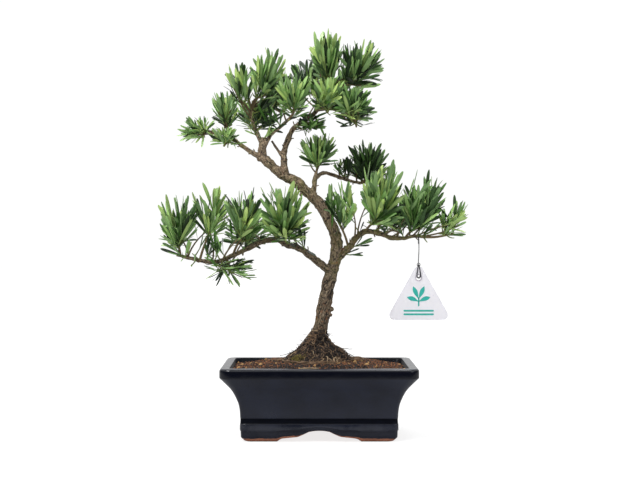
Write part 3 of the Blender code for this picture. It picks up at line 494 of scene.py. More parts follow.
def start_material(name):
    material = bpy.data.materials.new(name)
    material.use_nodes = True
    nodes = Nodes(material.node_tree)
    shader = nodes.add("ShaderNodeBsdfPrincipled")
    nodes.add("ShaderNodeOutputMaterial", {"Surface": shader.outputs[0]})
    return material, nodes, shader, nodes.out("ShaderNodeTexCoord", None, "Object")


def bump(nodes, shader, height, distance, strength):
    nodes.feed(shader.inputs["Normal"], nodes.out("ShaderNodeBump", {
        "Height": height, "Distance": distance, "Strength": strength}))


def mottle_group():
    """Soft uneven patches in a colour, with a matching unevenness of gloss and height."""
    tree, nodes, put, end = new_group(
        "Mottle", "ShaderNodeTree",
        [("Where", "Vector"), ("Patch size", "Float", 0.01), ("Grain size", "Float", 0.001),
         ("Colour", "Color"), ("Darker", "Float", 0.2), ("Lighter", "Float", 0.2),
         ("Gloss", "Float", 0.4), ("Gloss spread", "Float", 0.1)],
        [("Colour", "Color"), ("Roughness", "Float"), ("Height", "Float")])
    patches = nodes.noise(put["Where"], nodes.math("DIVIDE", 1.0, put["Patch size"]), 2.0)
    grain = nodes.noise(put["Where"], nodes.math("DIVIDE", 1.0, put["Grain size"]), 3.0, 0.65)
    both = nodes.plus(nodes.times(patches, 0.6), nodes.times(grain, 0.4))
    dark = nodes.scaled(put["Colour"], nodes.minus(1.0, put["Darker"]))
    light = nodes.scaled(put["Colour"], nodes.plus(1.0, put["Lighter"]))
    nodes.feed(end.inputs["Colour"], nodes.mix(nodes.step(both, 0.30, 0.70), dark, light))
    spread = nodes.times(nodes.minus(grain, 0.5), put["Gloss spread"])
    nodes.feed(end.inputs["Roughness"], nodes.plus(put["Gloss"], spread))
    nodes.feed(end.inputs["Height"], both)
    return tree


MOTTLE = mottle_group()
MOTTLE_INPUTS = ("Patch size", "Grain size", "Colour", "Darker", "Lighter", "Gloss", "Gloss spread")


def mottle(nodes, where, *values):
    """The mottle's outputs, from its inputs in the order above."""
    inputs = {"Where": where, **dict(zip(MOTTLE_INPUTS, values))}
    return nodes.add("ShaderNodeGroup", inputs, node_tree=MOTTLE).outputs


def mottled(name, skin, relief=None, constants=()):
    """A material of one mottled tone, with its relief's depth and strength."""
    material, nodes, shader, where = start_material(name)
    skin = mottle(nodes, where, *skin)
    nodes.feed(shader.inputs["Base Color"], skin["Colour"])
    nodes.feed(shader.inputs["Roughness"], skin["Roughness"])
    for socket, value in constants:
        shader.inputs[socket].default_value = value
    if relief:
        bump(nodes, shader, skin["Height"], *relief)
    return material


def leaf_material(name, tone, gloss, coat):
    """A leaf's skin: one plain tone with a faint mottle, waxy, and finely uneven."""
    material = mottled(
        name, (0.006, 0.0009, tone, 0.10, 0.10, gloss, 0.16), (0.0002, 0.5),
        (("Coat Weight", coat), ("Coat Roughness", 0.28), ("Specular IOR Level", 0.42)))
    material.diffuse_color = tone
    return material


def twig_material(name, tone, darker):
    return mottled(name, (0.004, 0.0006, tone, darker, 0.25, 0.72, 0.2), (0.0005, 0.8))


def earth_material(name, tone, darker=0.45, lighter=0.45, grain=0.0009, gloss=0.92):
    return mottled(name, (0.007, grain, colour(*tone), darker, lighter, gloss, 0.1), (0.0008, 0.9))


def tag_material(name, tone, clear, glow):
    """Pale frosted plastic that lets the light through, with a faint painted glow."""
    return mottled(name, (0.02, 0.0012, tone, 0.02, 0.02, 0.30, 0.12), (0.0001, 0.3), (
        ("Transmission Weight", clear), ("IOR", 1.30),
        ("Emission Color", colour(232, 230, 238)), ("Emission Strength", glow)))


def bark_material():
    """Grey-brown ridges over dark cracks, with rusty, mossy and freshly sawn places."""
    material, nodes, shader, where = start_material("fissured_bark")
    relief, moss, rust, sawn = [nodes.painted(name) for name in ("relief", "moss", "rust", "sawn")]
    ridge = mottle(nodes, where, 0.0040, 0.0008, colour(116, 100, 81), 0.48, 0.55, 0.85, 0.15)
    crack = nodes.step(relief, 0.22, 0.72)
    tone = nodes.mix(crack, colour(25, 20, 17), ridge["Colour"])
    pale = nodes.times(nodes.patches(where, 0.54, 0.66, 330.0, 4.0, 0.7), crack)
    tone = nodes.mix(nodes.times(pale, 0.75), tone, colour(178, 160, 132))
    specks = nodes.patches(where, 0.56, 0.66, 480.0, 3.0, 0.6)
    tone = nodes.mix(nodes.times(specks, 0.75), tone, colour(44, 34, 28))
    rusty = nodes.times(rust, nodes.patches(where, 0.52, 0.66, 230.0, 4.0, 0.6))
    tone = nodes.mix(rusty, tone, colour(138, 84, 46))
    green = nodes.times(moss, nodes.patches(where, 0.34, 0.60, 150.0, 4.0, 0.6))
    tone = nodes.mix(nodes.times(green, 0.85), tone, colour(112, 108, 56))
    rings = nodes.patches(where, 0.35, 0.65, 900.0, 2.0)
    tone = nodes.mix(sawn, tone, nodes.mix(rings, colour(158, 126, 92), colour(188, 160, 122)))
    high = nodes.out("ShaderNodeSeparateXYZ", {0: where}, "Z")
    # Darker low on the trunk and lighter high up.
    darker_low_lighter_high = nodes.blend(nodes.step(high, 0.24, 0.33), 0.80, 1.16)
    nodes.feed(shader.inputs["Base Color"], nodes.scaled(tone, darker_low_lighter_high))
    nodes.feed(shader.inputs["Roughness"], ridge["Roughness"])
    height = nodes.plus(nodes.noise(where, 1100.0, 4.0, 0.7), nodes.times(ridge["Height"], 0.8))
    bump(nodes, shader, height, 0.0006, 0.9)
    return material


def glaze_material():
    """Near-black blue glaze, thin and paler on the edges with painted highlights there, and painted shade
    in the groove and inside, over a bare terracotta foot.
    """
    material, nodes, shader, where = start_material("dark_blue_glaze")
    thin, bare, painted_shade = [nodes.painted(name) for name in POT_PAINTS]
    pool = nodes.patches(where, 0.35, 0.70, 28.0)
    glaze = nodes.mix(pool, colour(13, 17, 31), colour(20, 25, 41))
    streak = nodes.patches(where, 0.50, 0.80, 75.0, 4.0, 0.6)
    glaze = nodes.mix(nodes.times(streak, 0.22), glaze, colour(27, 33, 44))
    # Paler edges: partly thinner glaze, partly a painted highlight on the beads and the rim's edge.
    edge = nodes.times(thin, nodes.patches(where, 0.30, 0.60, 55.0))
    glaze = nodes.mix(nodes.times(edge, 0.5), glaze, colour(58, 60, 66))
    # Painted shade: near-black in the groove, under the lip, inside the wall and low on the rim and foot.
    glaze = nodes.mix(painted_shade, glaze, colour(2, 3, 12))
    clay = mottle(nodes, where, 0.008, 0.0007, colour(134, 84, 62), 0.28, 0.22, 0.85, 0.12)
    wander = nodes.times(nodes.minus(nodes.noise(where, 90.0), 0.5), 0.7)
    mask = nodes.step(nodes.plus(bare, wander), 0.42, 0.58)
    nodes.feed(shader.inputs["Base Color"], nodes.mix(mask, glaze, clay["Colour"]))
    gloss = nodes.plus(0.13, nodes.times(nodes.noise(where, 140.0), 0.12))
    gloss = nodes.plus(gloss, nodes.times(nodes.step(painted_shade, 0.88, 1.0), 0.4))
    nodes.feed(shader.inputs["Roughness"], nodes.blend(mask, gloss, clay["Roughness"]))
    coat = nodes.minus(0.15, nodes.times(painted_shade, 0.12))
    nodes.feed(shader.inputs["Coat Weight"], nodes.blend(mask, coat, 0.0))
    shader.inputs["Coat Roughness"].default_value = 0.06
    shader.inputs["Specular IOR Level"].default_value = 0.40
    skin = nodes.plus(nodes.noise(where, 46.0, 2.0), nodes.times(nodes.noise(where, 420.0, 2.0), 0.06))
    grit = nodes.noise(where, 1300.0, 3.0, 0.7)
    bump(nodes, shader, nodes.blend(mask, skin, grit), 0.0007, 0.6)
    return material


# ---- limbs: routes and tubes, as in the source ----

LIMB_STEP = 0.002


def smooth_route(points, step):
    """Read a Catmull-Rom curve through the points, about one reading each step."""
    points = [Vector(p) for p in points]
    ends = [points[0] * 2 - points[1]] + points + [points[-1] * 2 - points[-2]]
    route = []
    for a, b, c, d in zip(ends, ends[1:], ends[2:], ends[3:]):
        count = max(1, round((c - b).length / step))
        for i in range(count):
            t = i / count
            route.append(0.5 * (2 * b + (c - a) * t + (2 * a - 5 * b + 4 * c - d) * t * t
                                + (3 * b - a - 3 * c + d) * t ** 3))
    return route + [points[-1].copy()]


def turned_frames(route):
    """Give each point of a route two cross directions that turn as little as they can."""
    heading = (route[1] - route[0]).normalized()
    side = heading.orthogonal().normalized()
    frames = []
    for i in range(len(route)):
        ahead = route[min(i + 1, len(route) - 1)] - route[max(i - 1, 0)]
        ahead.normalize()
        side = heading.rotation_difference(ahead) @ side
        side = (side - ahead * side.dot(ahead)).normalized()
        heading = ahead
        frames.append((side, ahead.cross(side)))
    return frames


def tube(route, radii, sides):
    """Loft a closed round tube along a route."""
    verts = []
    for point, radius, (side, cross) in zip(route, radii, turned_frames(route)):
        for k in range(sides):
            turn = 2 * math.pi * k / sides
            verts.append(point + (side * math.cos(turn) + cross * math.sin(turn)) * radius)
    first, around, last = lofted(len(route), sides)
    return verts, [first, *around, last]


def quadratic(start, bend, stop, t):
    return start * (1 - t) ** 2 + bend * 2 * t * (1 - t) + stop * t * t


def arched(start, bend, stop, steps):
    return [quadratic(start, bend, stop, i / steps) for i in range(steps + 1)]


def tapered(path, first, last):
    """Radii that run evenly from one diameter to another."""
    count = len(path) - 1
    return [(first + (last - first) * i / count) / 2 for i in range(count + 1)]


def thinned(path, thick, loss):
    """Radii that lose a share of the first one along a path."""
    count = len(path) - 1
    return [thick * (1 - loss * i / count) for i in range(count + 1)]


def off_segment(point, a, b):
    """Distance from a point to the stretch between two others."""
    run = b - a
    share = clamped((point - a).dot(run) / run.length_squared)
    return (point - a - run * share).length


def all_limbs():
    """The route and radii of the trunk and of every bough."""
    points = [Vector(row[:3]) for row in TRUNK]
    route = smooth_route(points, LIMB_STEP)
    radii = []
    for point in route:
        spans = range(len(points) - 1)
        near = min(spans, key=lambda i: off_segment(point, points[i], points[i + 1]))
        run = (points[near + 1] - points[near]).length
        along = min(1.0, (point - points[near]).length / run)
        radii.append((TRUNK[near][3] * (1 - along) + TRUNK[near + 1][3] * along) / 2)
    limbs = {"trunk": (route, radii)}
    for name, bough in BOUGHS.items():
        route = smooth_route(bough.route, LIMB_STEP)
        limbs[name] = route, tapered(route, bough.first, bough.last)
    return limbs


def point_along(route, share):
    """A point of a route at a share of its length, and its heading there."""
    steps = [(b - a).length for a, b in zip(route, route[1:])]
    left = share * sum(steps)
    for a, b, step in zip(route, route[1:], steps):
        if left <= step:
            return a.lerp(b, left / step), (b - a) / step
        left -= step
    return route[-1].copy(), (route[-1] - route[-2]).normalized()


# ---- bark ----

VOXEL = 0.00066
LIMB_SIDES = 24
KNOB_SIDES = 10
TRUNK_RELIEF = 0.0010
BOUGH_RELIEF = 0.0006
SAWN_RELIEF = 0.0002
COLLAR_LENGTH = 0.012
COLLAR_SPREAD = 0.28
MIDDLE_HEIGHT = 0.62
CRACK_SEED = 17
MOSSY = {"bough_lower_right": 0.85, "bough_lower_left": 0.30}

# Broken stubs and knobs: middle, radius and how long each stands out, and which way.
KNOBS = metres((
    ((212, -20, 1572), 42, (56, 0, 12)), ((202, -40, 1512), 34, (46, 0, -12)),
    ((180, -30, 1465), 22, (38, 0, 0)), ((-125, 10, 3030), 26, (-30, 0, -30)),
    ((-660, 0, 3455), 32, (-30, 0, -12)), ((-330, -10, 2395), 24, (0, -10, 30)),
    ((500, 0, 2405), 26, (22, 0, -10)), ((420, -20, 2350), 22, (-28, 0, 12)),
    ((262, -80, 2490), 26, (0, -26, 0)), ((170, -80, 1850), 24, (0, -22, 10)),
    ((120, 70, 1700), 28, (0, 30, 0)), ((310, 50, 2300), 26, (0, 32, 0)),
    ((-340, 0, 3330), 36, (0, 0, 20)), ((-1010, -40, 3710), 16, (0, 0, 34))))


def limb_lumps(limbs):
    """Every limb as a closed tube with a spread collar at its foot, and the knobs."""
    verts, faces = [], []

    def join(route, radii, sides):
        shape, around = tube(route, radii, sides)
        first = len(verts)
        verts.extend(shape)
        faces.extend(tuple(first + i for i in face) for face in around)

    for name, (route, radii) in limbs.items():
        spread = list(radii)
        if name != "trunk":
            gone = 0.0
            for i, (a, b) in enumerate(zip(route, route[1:])):
                share = max(0.0, 1 - gone / COLLAR_LENGTH)
                spread[i] = radii[i] * (1 + COLLAR_SPREAD * share)
                gone += (b - a).length
        join(route, spread, LIMB_SIDES)
    for middle, radius, out in KNOBS:
        middle, out = Vector(middle), Vector(out)
        join([middle - out, middle, middle + out * 0.6, middle + out],
             [radius, radius, radius * 0.86, radius * 0.5], KNOB_SIDES)
    return verts, faces


def limb_readings(limbs):
    """Where each point near a limb is along it and round it."""
    readings = []
    for number, (route, radii) in enumerate(limbs.values()):
        gone = 0.0
        for i, (point, (side, cross)) in enumerate(zip(route, turned_frames(route))):
            readings.append((point, number, gone, side, cross, radii[i], i / (len(route) - 1)))
            if i + 1 < len(route):
                gone += (route[i + 1] - point).length
    tree = KDTree(len(readings))
    for i, reading in enumerate(readings):
        tree.insert(reading[0], i)
    tree.balance()
    return readings, tree


def crack_height(place, stretch):
    """Bark height from 0 in a crack to 1 on a ridge, at a place with Z along the limb."""
    p = Vector((place.x * 400, place.y * 400, place.z * 400 / stretch))
    bent = p + noise.noise_vector(p * 0.45) * 0.9
    ridges = 1 - abs(noise.noise(bent)) * 2.4
    fine = 1 - abs(noise.noise(bent * 2.3 + Vector((7, 3, 1)))) * 2.0
    cross = 1 - abs(noise.noise(Vector((bent.x * 0.6, bent.y * 0.6, bent.z * 3.2)))) * 2.2
    crack = max(ridges, 0.0) ** 3 * 0.8 + max(fine, 0.0) ** 3 * 0.35 + max(cross, 0.0) ** 5 * 0.4
    return max(0.0, 1 - crack)


def make_bark(limbs):
    """One skin over the trunk and its boughs, with soft joints, cracked along each limb."""
    noise.seed_set(CRACK_SEED)  # noise_vector's offsets follow the clock until this is set
    base = scene_object("limb_lumps", mesh_from("limb_lumps", *limb_lumps(limbs)))
    remesh = base.modifiers.new("Skin", "REMESH")
    remesh.mode = "VOXEL"
    remesh.voxel_size = VOXEL
    smooth = base.modifiers.new("Soften", "SMOOTH")
    smooth.factor = 0.5
    smooth.iterations = 4
    mesh = evaluated(base)
    remove_object(base)
    names = list(limbs)
    readings, tree = limb_readings(limbs)
    points = read_points(mesh.vertices, "co")
    normals = read_points(mesh.vertex_normals, "vector")
    moved = points.copy()
    paints = []
    for i, (point, normal) in enumerate(zip(points, normals)):
        where = Vector(point.tolist())
        middle, number, along, side, cross, radius, share = readings[tree.find(where)[1]]
        off = where - middle
        heading = side.cross(cross)
        local = Vector((off.dot(side), off.dot(cross), along + off.dot(heading) + number * 0.37))
        name = names[number]
        trunk = name == "trunk"
        height = crack_height(local, 3.4 if trunk else 2.6)
        size = TRUNK_RELIEF if trunk else BOUGH_RELIEF * min(1.0, radius / 0.0035)
        lumps = noise.noise(where * 80) * 0.0015 + noise.noise(where * 190) * 0.0011
        lumps *= min(1.0, radius / 0.005)
        end = off.dot(heading) > radius * 0.25 and share > 0.995 and name != "bough_leader"
        if end:
            height, lumps, size = 0.8, 0.0, SAWN_RELIEF
        moved[i] = point + normal * ((height - MIDDLE_HEIGHT) * size + lumps)
        green = 0.55 if trunk and 0.20 < where.z < 0.27 else MOSSY.get(name, 0.15)
        moss = clamped(green + noise.noise(where * 40 + Vector((3, 9, 1))) * 0.6)
        if trunk:
            rust = max(0.8 * max(0.0, 1 - abs(where.z - 0.148) / 0.030), 0.12)
        else:
            rust = 0.8 if name == "bough_lower_right" and share < 0.35 else 0.15
        sawn = float(end and abs(Vector(normal.tolist()).dot(heading)) > 0.7)
        paints.append((height, moss, rust, sawn))
    moved += np.array(SHIFT, dtype=np.float32)
    mesh.vertices.foreach_set("co", moved.ravel())
    mesh.update()
    for name, values in zip(("relief", "moss", "rust", "sawn"), zip(*paints)):
        write_attribute(mesh, name, values)
    mesh.shade_smooth()
    mesh.materials.clear()
    mesh.materials.append(bark_material())
    finish_piece("bark_skin", mesh, "plant", "bark", "trunk", *BOUGHS)


# ---- foliage: the source's rule, carried to finer twigs ----


def mass_stem(mass, limbs):
    """The curved stem from the middle of its bough to the heart of the mass."""
    start, heading = point_along(limbs[mass.bough][0], mass.along)
    middle = Vector(mass.middle)
    toward = (middle - start).normalized()
    drop, share = (toward, HANGING_DROP) if toward.z < 0 else (UP, HEART_DROP)
    heart = middle - Vector([s * r for s, r in zip(drop, mass.reach)]) * share
    if (heart - start).dot(toward) < STEM_SHORTEST:
        heart = start + toward * STEM_SHORTEST
    leave = heading if mass.along == 1.0 else toward
    bend = start + leave * (heart - start).length * STEM_BEND
    route = arched(start, bend, heart, STEM_STEPS)
    return route, tapered(route, STEM_DIAMETER, SHOOT_DIAMETER)


def side_stem(mass, limbs, side, rng):
    """A thinner twig from beside the stem's foot into one side of the mass."""
    share = mass.along + side * rng.uniform(*SIDE_STEM_APART)
    start, heading = point_along(limbs[mass.bough][0], max(0.04, min(0.98, share)))
    reach = mass.reach
    aim = Vector(mass.middle) + Vector((side * reach[0] * rng.uniform(0.3, 0.55),
                                        reach[1] * rng.uniform(-0.5, 0.5),
                                        reach[2] * rng.uniform(-0.45, 0.0)))
    bend = start + (aim - start) * 0.5 + heading * side * (aim - start).length * 0.22
    route = arched(start, bend, aim, STEM_STEPS)
    return route, tapered(route, SIDE_STEM_DIAMETER, TWIG_TIP_DIAMETER)


def bough_spurs(limbs):
    """Short broken twigs that stand out all along the boughs."""
    rng = random.Random(SPUR_SEED)
    spurs = []
    for name in BOUGHS:
        route, radii = limbs[name]
        length = sum((b - a).length for a, b in zip(route, route[1:]))
        for i in range(int(length / SPUR_GAP)):
            start, heading = point_along(route, (i + rng.random()) * SPUR_GAP / length)
            out = fan_direction(heading, math.radians(rng.uniform(45, 85)), rng.uniform(0, math.tau))
            reach = radii[0] + rng.uniform(*SPUR_LENGTHS)
            bend = out * 0.6 + heading * 0.3 + UP * rng.uniform(-0.2, 0.4)
            knee = start + out * reach * 0.7
            path = [start, knee, knee + bend * reach * 0.4]
            spurs.append((path, tapered(path, rng.uniform(*SPUR_DIAMETERS), TWIG_TIP_DIAMETER)))
    return spurs


def support(reach, direction):
    return math.sqrt(sum((r * d) ** 2 for r, d in zip(reach, direction)))


def fan_direction(axis, opening, turn):
    """Tilt an axis by an opening angle, in the direction of a turn round it."""
    side = Quaternion(axis, turn) @ axis.orthogonal().normalized()
    return (axis * math.cos(opening) + side * math.sin(opening)).normalized()


def distance_to_edge(point, direction, mass):
    """How far a ray runs from a point inside a mass to the edge of its reach."""
    offset = Vector([(p - m) / r for p, m, r in zip(point, mass.middle, mass.reach)])
    run = Vector([d / r for d, r in zip(direction, mass.reach)])
    a, b, c = run.dot(run), offset.dot(run), offset.dot(offset) - 1
    return (-b + math.sqrt(max(0.0, b * b - a * c))) / a


def samples(route, radii, step=0.003):
    """Round obstacles along a limb, close enough to stand for it."""
    found = []
    for a, b, ra, rb in zip(route, route[1:], radii, radii[1:]):
        count = max(1, math.ceil((b - a).length / step))
        for i in range(count):
            t = i / count
            found.append((*a.lerp(b, t), ra + (rb - ra) * t))
    return found + [(*route[-1], radii[-1])]


Leaf = namedtuple("Leaf", "root ahead face length width droop twist tone mass")
TONES = ("spring", "young", "mid", "deep", "shade")
DARKEST = len(TONES) - 1
# The dark row is for masses at the back, inside and underneath: its darker tones are painted shade.
TONE_CHANCES = {
    "young": (0.26, 0.52, 0.16, 0.06, 0.0),
    "mid": (0.14, 0.46, 0.28, 0.10, 0.02),
    "dark": (0.05, 0.24, 0.36, 0.25, 0.10),
}
TONE_STRAYS = (-1, -1, 0, 0, 0, 0, 1)
TWIN_APART = 0.0035
LEAF_PROBES = np.array((0.22, 0.36, 0.5, 0.64, 0.78, 0.9, 1.0))
LEAF_PROBE_WIDTHS = np.array((0.30, 0.42, 0.5, 0.5, 0.42, 0.26, 0.05))


class Room:
    """The space that one mass may fill, with its neighbours' planes and limbs, as it grows."""

    def __init__(self, name, obstacles, leaves, twigs):
        self.name, self.leaves, self.twigs = name, leaves, twigs
        self.mass = mass = MASSES[name]
        self.rng = random.Random(MASS_SEED + list(MASSES).index(name))
        self.middle = np.array(mass.middle)
        self.reach = np.array(mass.reach)
        self.taken = []
        planes = []
        for other_name, other in MASSES.items():
            if other_name == name:
                continue
            away = Vector(other.middle) - Vector(mass.middle)
            distance = away.length
            away.normalize()
            mine, theirs = support(mass.reach, away), support(other.reach, away)
            limit = Vector(mass.middle).dot(away) + distance * mine / (mine + theirs)
            planes.append((*away, limit + INTERLEAVE))
        self.planes = np.array(planes)
        found = np.array(obstacles)
        near = np.linalg.norm(found[:, :3] - self.middle, axis=1) < max(mass.reach) * OBSTACLE_RANGE
        self.obstacles = found[near]

    def fits(self, points, widths, vigour=1.0):
        """True where all points are in reach, on the right side of planes and clear of limbs."""
        off = np.abs(points - self.middle) / (self.reach * vigour)
        if (off ** SQUARENESS).sum(axis=1).max() > 1:
            return False
        if not (points @ self.planes[:, :3].T <= self.planes[:, 3]).all():
            return False
        off = np.linalg.norm(points[:, None, :] - self.obstacles[None, :, :3], axis=2)
        return bool((off >= self.obstacles[None, :, 3] + widths[:, None]).all())

    def fit_leaf(self, root, ahead, length, droop, vigour):
        """Shorten a leaf until it keeps to its mass's space, or give it up."""
        root, ahead, droop = np.array(root), np.array(ahead), np.array(droop)
        shares = LEAF_PROBES[:, None]
        for _ in range(LEAF_TRIES):
            spine = root + ahead * length * shares + droop * length * shares ** 2
            widths = LEAF_PROBE_WIDTHS * length * LEAF_WIDTH_SHARE + LEAF_MARGIN
            if self.fits(spine, widths, vigour):
                return length
            length *= LEAF_SHRINK
            if length < LEAF_SHORTEST:
                return None
        return None

    def fit_shoot(self, start, heading, length, lift):
        while length > SHOOT_SHORTEST:
            path = bent_path(start, heading, length, lift)
            points = np.array([p[:] for p in path[2:]])
            if self.fits(points, np.full(len(points), SHOOT_DIAMETER / 2)):
                return path
            length *= SHOOT_SHRINK
        return None

    def pick_tone(self):
        return self.rng.choices(range(len(TONES)), TONE_CHANCES[self.mass.tone])[0]

    def add_twig(self, path, diameter):
        self.twigs["green"].append((path, tapered(path, diameter, TWIG_TIP_DIAMETER)))

    def grow_spray(self, path, count, turn, tone, scale=1.0, most=None):
        """Set leaves on a spiral down a shoot: a tight tip, spreading and drooping below."""
        rng, mass = self.rng, self.mass
        for j in range(count):
            if j > 2 and rng.random() < LEAF_MISSING:
                continue
            age = j / (count - 1)
            root, axis = point_along(path, LEAF_FIRST - LEAF_SPAN * age)
            spread = LEAF_TIP_ANGLE + (LEAF_LOW_ANGLE - LEAF_TIP_ANGLE) * age ** 1.15
            spread *= rng.uniform(0.60, 1.35)
            ahead = fan_direction(axis, spread, turn + j * GOLDEN_TURN + rng.uniform(-0.45, 0.45))
            ahead = (ahead + UP * LEAF_LIFT * (1 - 0.6 * age)).normalized()
            if ahead.z < LEAF_LOWEST and rng.random() < LEAF_TURNED_UP:
                ahead.z *= -0.6
                ahead.normalize()
            face = (axis - ahead * axis.dot(ahead) + UP * LEAF_FACE_UP).normalized()
            face = Quaternion(ahead, rng.uniform(-LEAF_ROLL, LEAF_ROLL)) @ face
            face = (face - ahead * face.dot(ahead)).normalized()
            length = mass.leaf * scale * rng.uniform(*LEAF_LENGTHS)
            if age < 0.25:
                length *= 0.70 + 1.2 * age
            elif age > 0.8:
                length *= 0.85
            droop = face * rng.uniform(-0.12, 0.12) - UP * rng.uniform(0.0, 0.20) * age
            length = self.fit_leaf(root, ahead, length, droop, most or rng.uniform(*VIGOUR))
            if length is None:
                continue
            middle = Vector(root) + Vector(ahead) * length * 0.5
            if any((middle - there).length < TWIN_APART and ahead.dot(along) > 0.985
                   for there, along in self.taken):
                continue
            self.taken.append((middle, ahead.copy()))
            # Leaves low on a spray come out darker: partly the older leaves' own colour, partly painted
            # shade.
            own = tone + rng.choice(TONE_STRAYS) + (rng.choice((0, 1, 1, 2)) if age > 0.5 else 0)
            width = length ** 0.75 * mass.leaf ** 0.25 * LEAF_WIDTH_SHARE * rng.uniform(0.86, 1.16)
            self.leaves.append(Leaf(root, ahead, face, length, width, droop * length,
                                    rng.uniform(-0.5, 0.5), max(0, min(DARKEST, own)), self.name))

    def grow_tuft(self, limb, along, way, length, count, share, tone):
        """A short shoot straight from the bough, with a few smaller leaves."""
        route, radii = limb
        way = Vector(way).normalized()
        path = bent_path(point_along(route, along)[0], way, length + radii[0], 0.3 * abs(way.z))
        self.add_twig(path, TUFT_DIAMETER)
        self.grow_spray(path, count, self.rng.uniform(0, math.tau), tone, share, TUFT_VIGOUR)


def bent_path(start, heading, length, lift):
    """A shoot that leaves along its heading and turns up towards its tip."""
    tip = (heading + UP * lift).normalized()
    path = []
    for i in range(SHOOT_STEPS + 1):
        t = i / SHOOT_STEPS
        path.append(start + heading * length * t * (1 - 0.4 * t) + tip * length * 0.4 * t * t)
    return path


def grow_mass(name, limbs, stems, limb_obstacles, leaves, twigs):
    """Grow one mass: its stem, shoots on a spiral, side twigs, and a spray on each."""
    obstacles = list(limb_obstacles)
    for other, stem in stems.items():
        if other != name:
            obstacles += samples(*stem)
    room = Room(name, obstacles, leaves, twigs)
    mass, rng = room.mass, room.rng
    route, radii = stems[name]
    twigs["brown"].append((route, radii))
    axis = (Vector(mass.middle) - route[-1]).normalized()
    if mass.reach[2] >= max(mass.reach[:2]):
        axis = (axis + UP).normalized()
    shoots = round(mass.shoots * SHOOT_SHARE)
    for i in range(shoots):
        turn = i * GOLDEN_TURN + rng.uniform(-TURN_JITTER, TURN_JITTER)
        opening = FAN_ANGLE * math.sqrt((i + FIRST_OPENING) / shoots)
        heading = fan_direction(axis, opening, turn)
        start, _ = point_along(route, 1 - 0.5 * SHOOTS_DOWN_STEM * i / shoots)
        edge = distance_to_edge(route[-1], heading, mass)
        length = max(SHOOT_SHORT, edge - mass.leaf * LEAF_OVERHANG) * rng.uniform(*SHOOT_LENGTHS)
        path = room.fit_shoot(start, heading, length, SHOOT_LIFT * opening)
        if path is None:
            continue
        tone = room.pick_tone()
        room.add_twig(path, SHOOT_DIAMETER)
        room.grow_spray(path, round(SPRAY_LEAVES * min(1.0, mass.leaves / 4)), turn, tone)
        side_turn = turn + rng.uniform(1.0, 5.0)
        for k in range(1 if i % 2 else 2):
            fork, ahead = point_along(path, rng.uniform(0.25, 0.6))
            branch = fan_direction(ahead, SIDE_TWIG_OPENING * rng.uniform(0.8, 1.3),
                                   side_turn + k * GOLDEN_TURN)
            short = length * SIDE_TWIG_SHARE * rng.uniform(0.7, 1.2)
            side_path = room.fit_shoot(fork, branch, max(short, SHOOT_SHORT), SHOOT_LIFT)
            if side_path:
                room.add_twig(side_path, SIDE_TWIG_DIAMETER)
                side_tone = min(DARKEST, tone + rng.choice((0, 0, 1)))
                room.grow_spray(side_path, SIDE_SPRAY_LEAVES, side_turn, side_tone, 0.85)
    for side in SIDE_STEMS:
        path, radii = side_stem(mass, limbs, side, rng)
        twigs["brown"].append((path, radii))
        room.grow_spray(path, SIDE_STEM_LEAVES, side * 1.7, room.pick_tone(), 0.95)
    for i in range(LOW_SPRAYS):
        fork, ahead = point_along(route, rng.uniform(0.25, 0.85))
        branch = fan_direction(ahead, math.radians(rng.uniform(50, 85)), i * GOLDEN_TURN + 1.0)
        path = room.fit_shoot(fork, branch, rng.uniform(0.008, 0.020), SHOOT_LIFT * 2)
        if path:
            # The low sprays under the mass take a tone one step darker: painted shade.
            tone = min(DARKEST, room.pick_tone() + 1)
            room.add_twig(path, LOW_TWIG_DIAMETER)
            room.grow_spray(path, LOW_SPRAY_LEAVES, i * 2.0, tone, LOW_LEAF_SHARE)
    for tuft in TUFTS.get(name.removeprefix("foliage_"), ()):
        room.grow_tuft(limbs[mass.bough], *tuft)


BLADE_STATIONS = (
    (0.0, 0.15), (0.05, 0.20), (0.14, 0.40), (0.27, 0.66), (0.43, 0.87), (0.62, 1.0),
    (0.79, 0.98), (0.90, 0.80), (0.965, 0.50), (1.0, 0.12),
)
BLADE_FOLD = 0.16
RIB_SHARE = 0.13
RIB_RISE = 0.05
BLADE_THICKNESS = 0.10
LEAF_PARTS = ("Blade", "Rib", "Underside")


def leaf_blank():
    """One leaf a unit long and wide: a folded top, a raised rib and a keeled underside."""
    verts, faces, strips = [], [], []
    for along, half in BLADE_STATIONS:
        half *= 0.5
        rib = min(RIB_SHARE * 0.5, half * 0.6)
        verts += [(-half, along, BLADE_FOLD * half), (-rib, along, 0.0), (0, along, RIB_RISE * 0.5),
                  (rib, along, 0.0), (half, along, BLADE_FOLD * half),
                  (0, along, -BLADE_THICKNESS * half - 0.02)]
    for a in range(0, 6 * (len(BLADE_STATIONS) - 1), 6):
        for left, right, strip in ((0, 1, 0), (1, 2, 1), (2, 3, 1), (3, 4, 0), (4, 5, 2), (5, 0, 2)):
            faces.append((a + left, a + right, a + 6 + right, a + 6 + left))
            strips.append(strip)
    faces += [(0, 5, 4, 3, 2, 1), tuple(range(len(verts) - 6, len(verts)))]
    strips += [2, 2]
    mesh = mesh_from("leaf_blank", verts, faces)
    write_attribute(mesh, "along", [v[1] for v in verts])
    mesh.attributes.new("strip", "INT", "FACE").data.foreach_set("value", strips)
    return scene_object("leaf_blank", mesh)


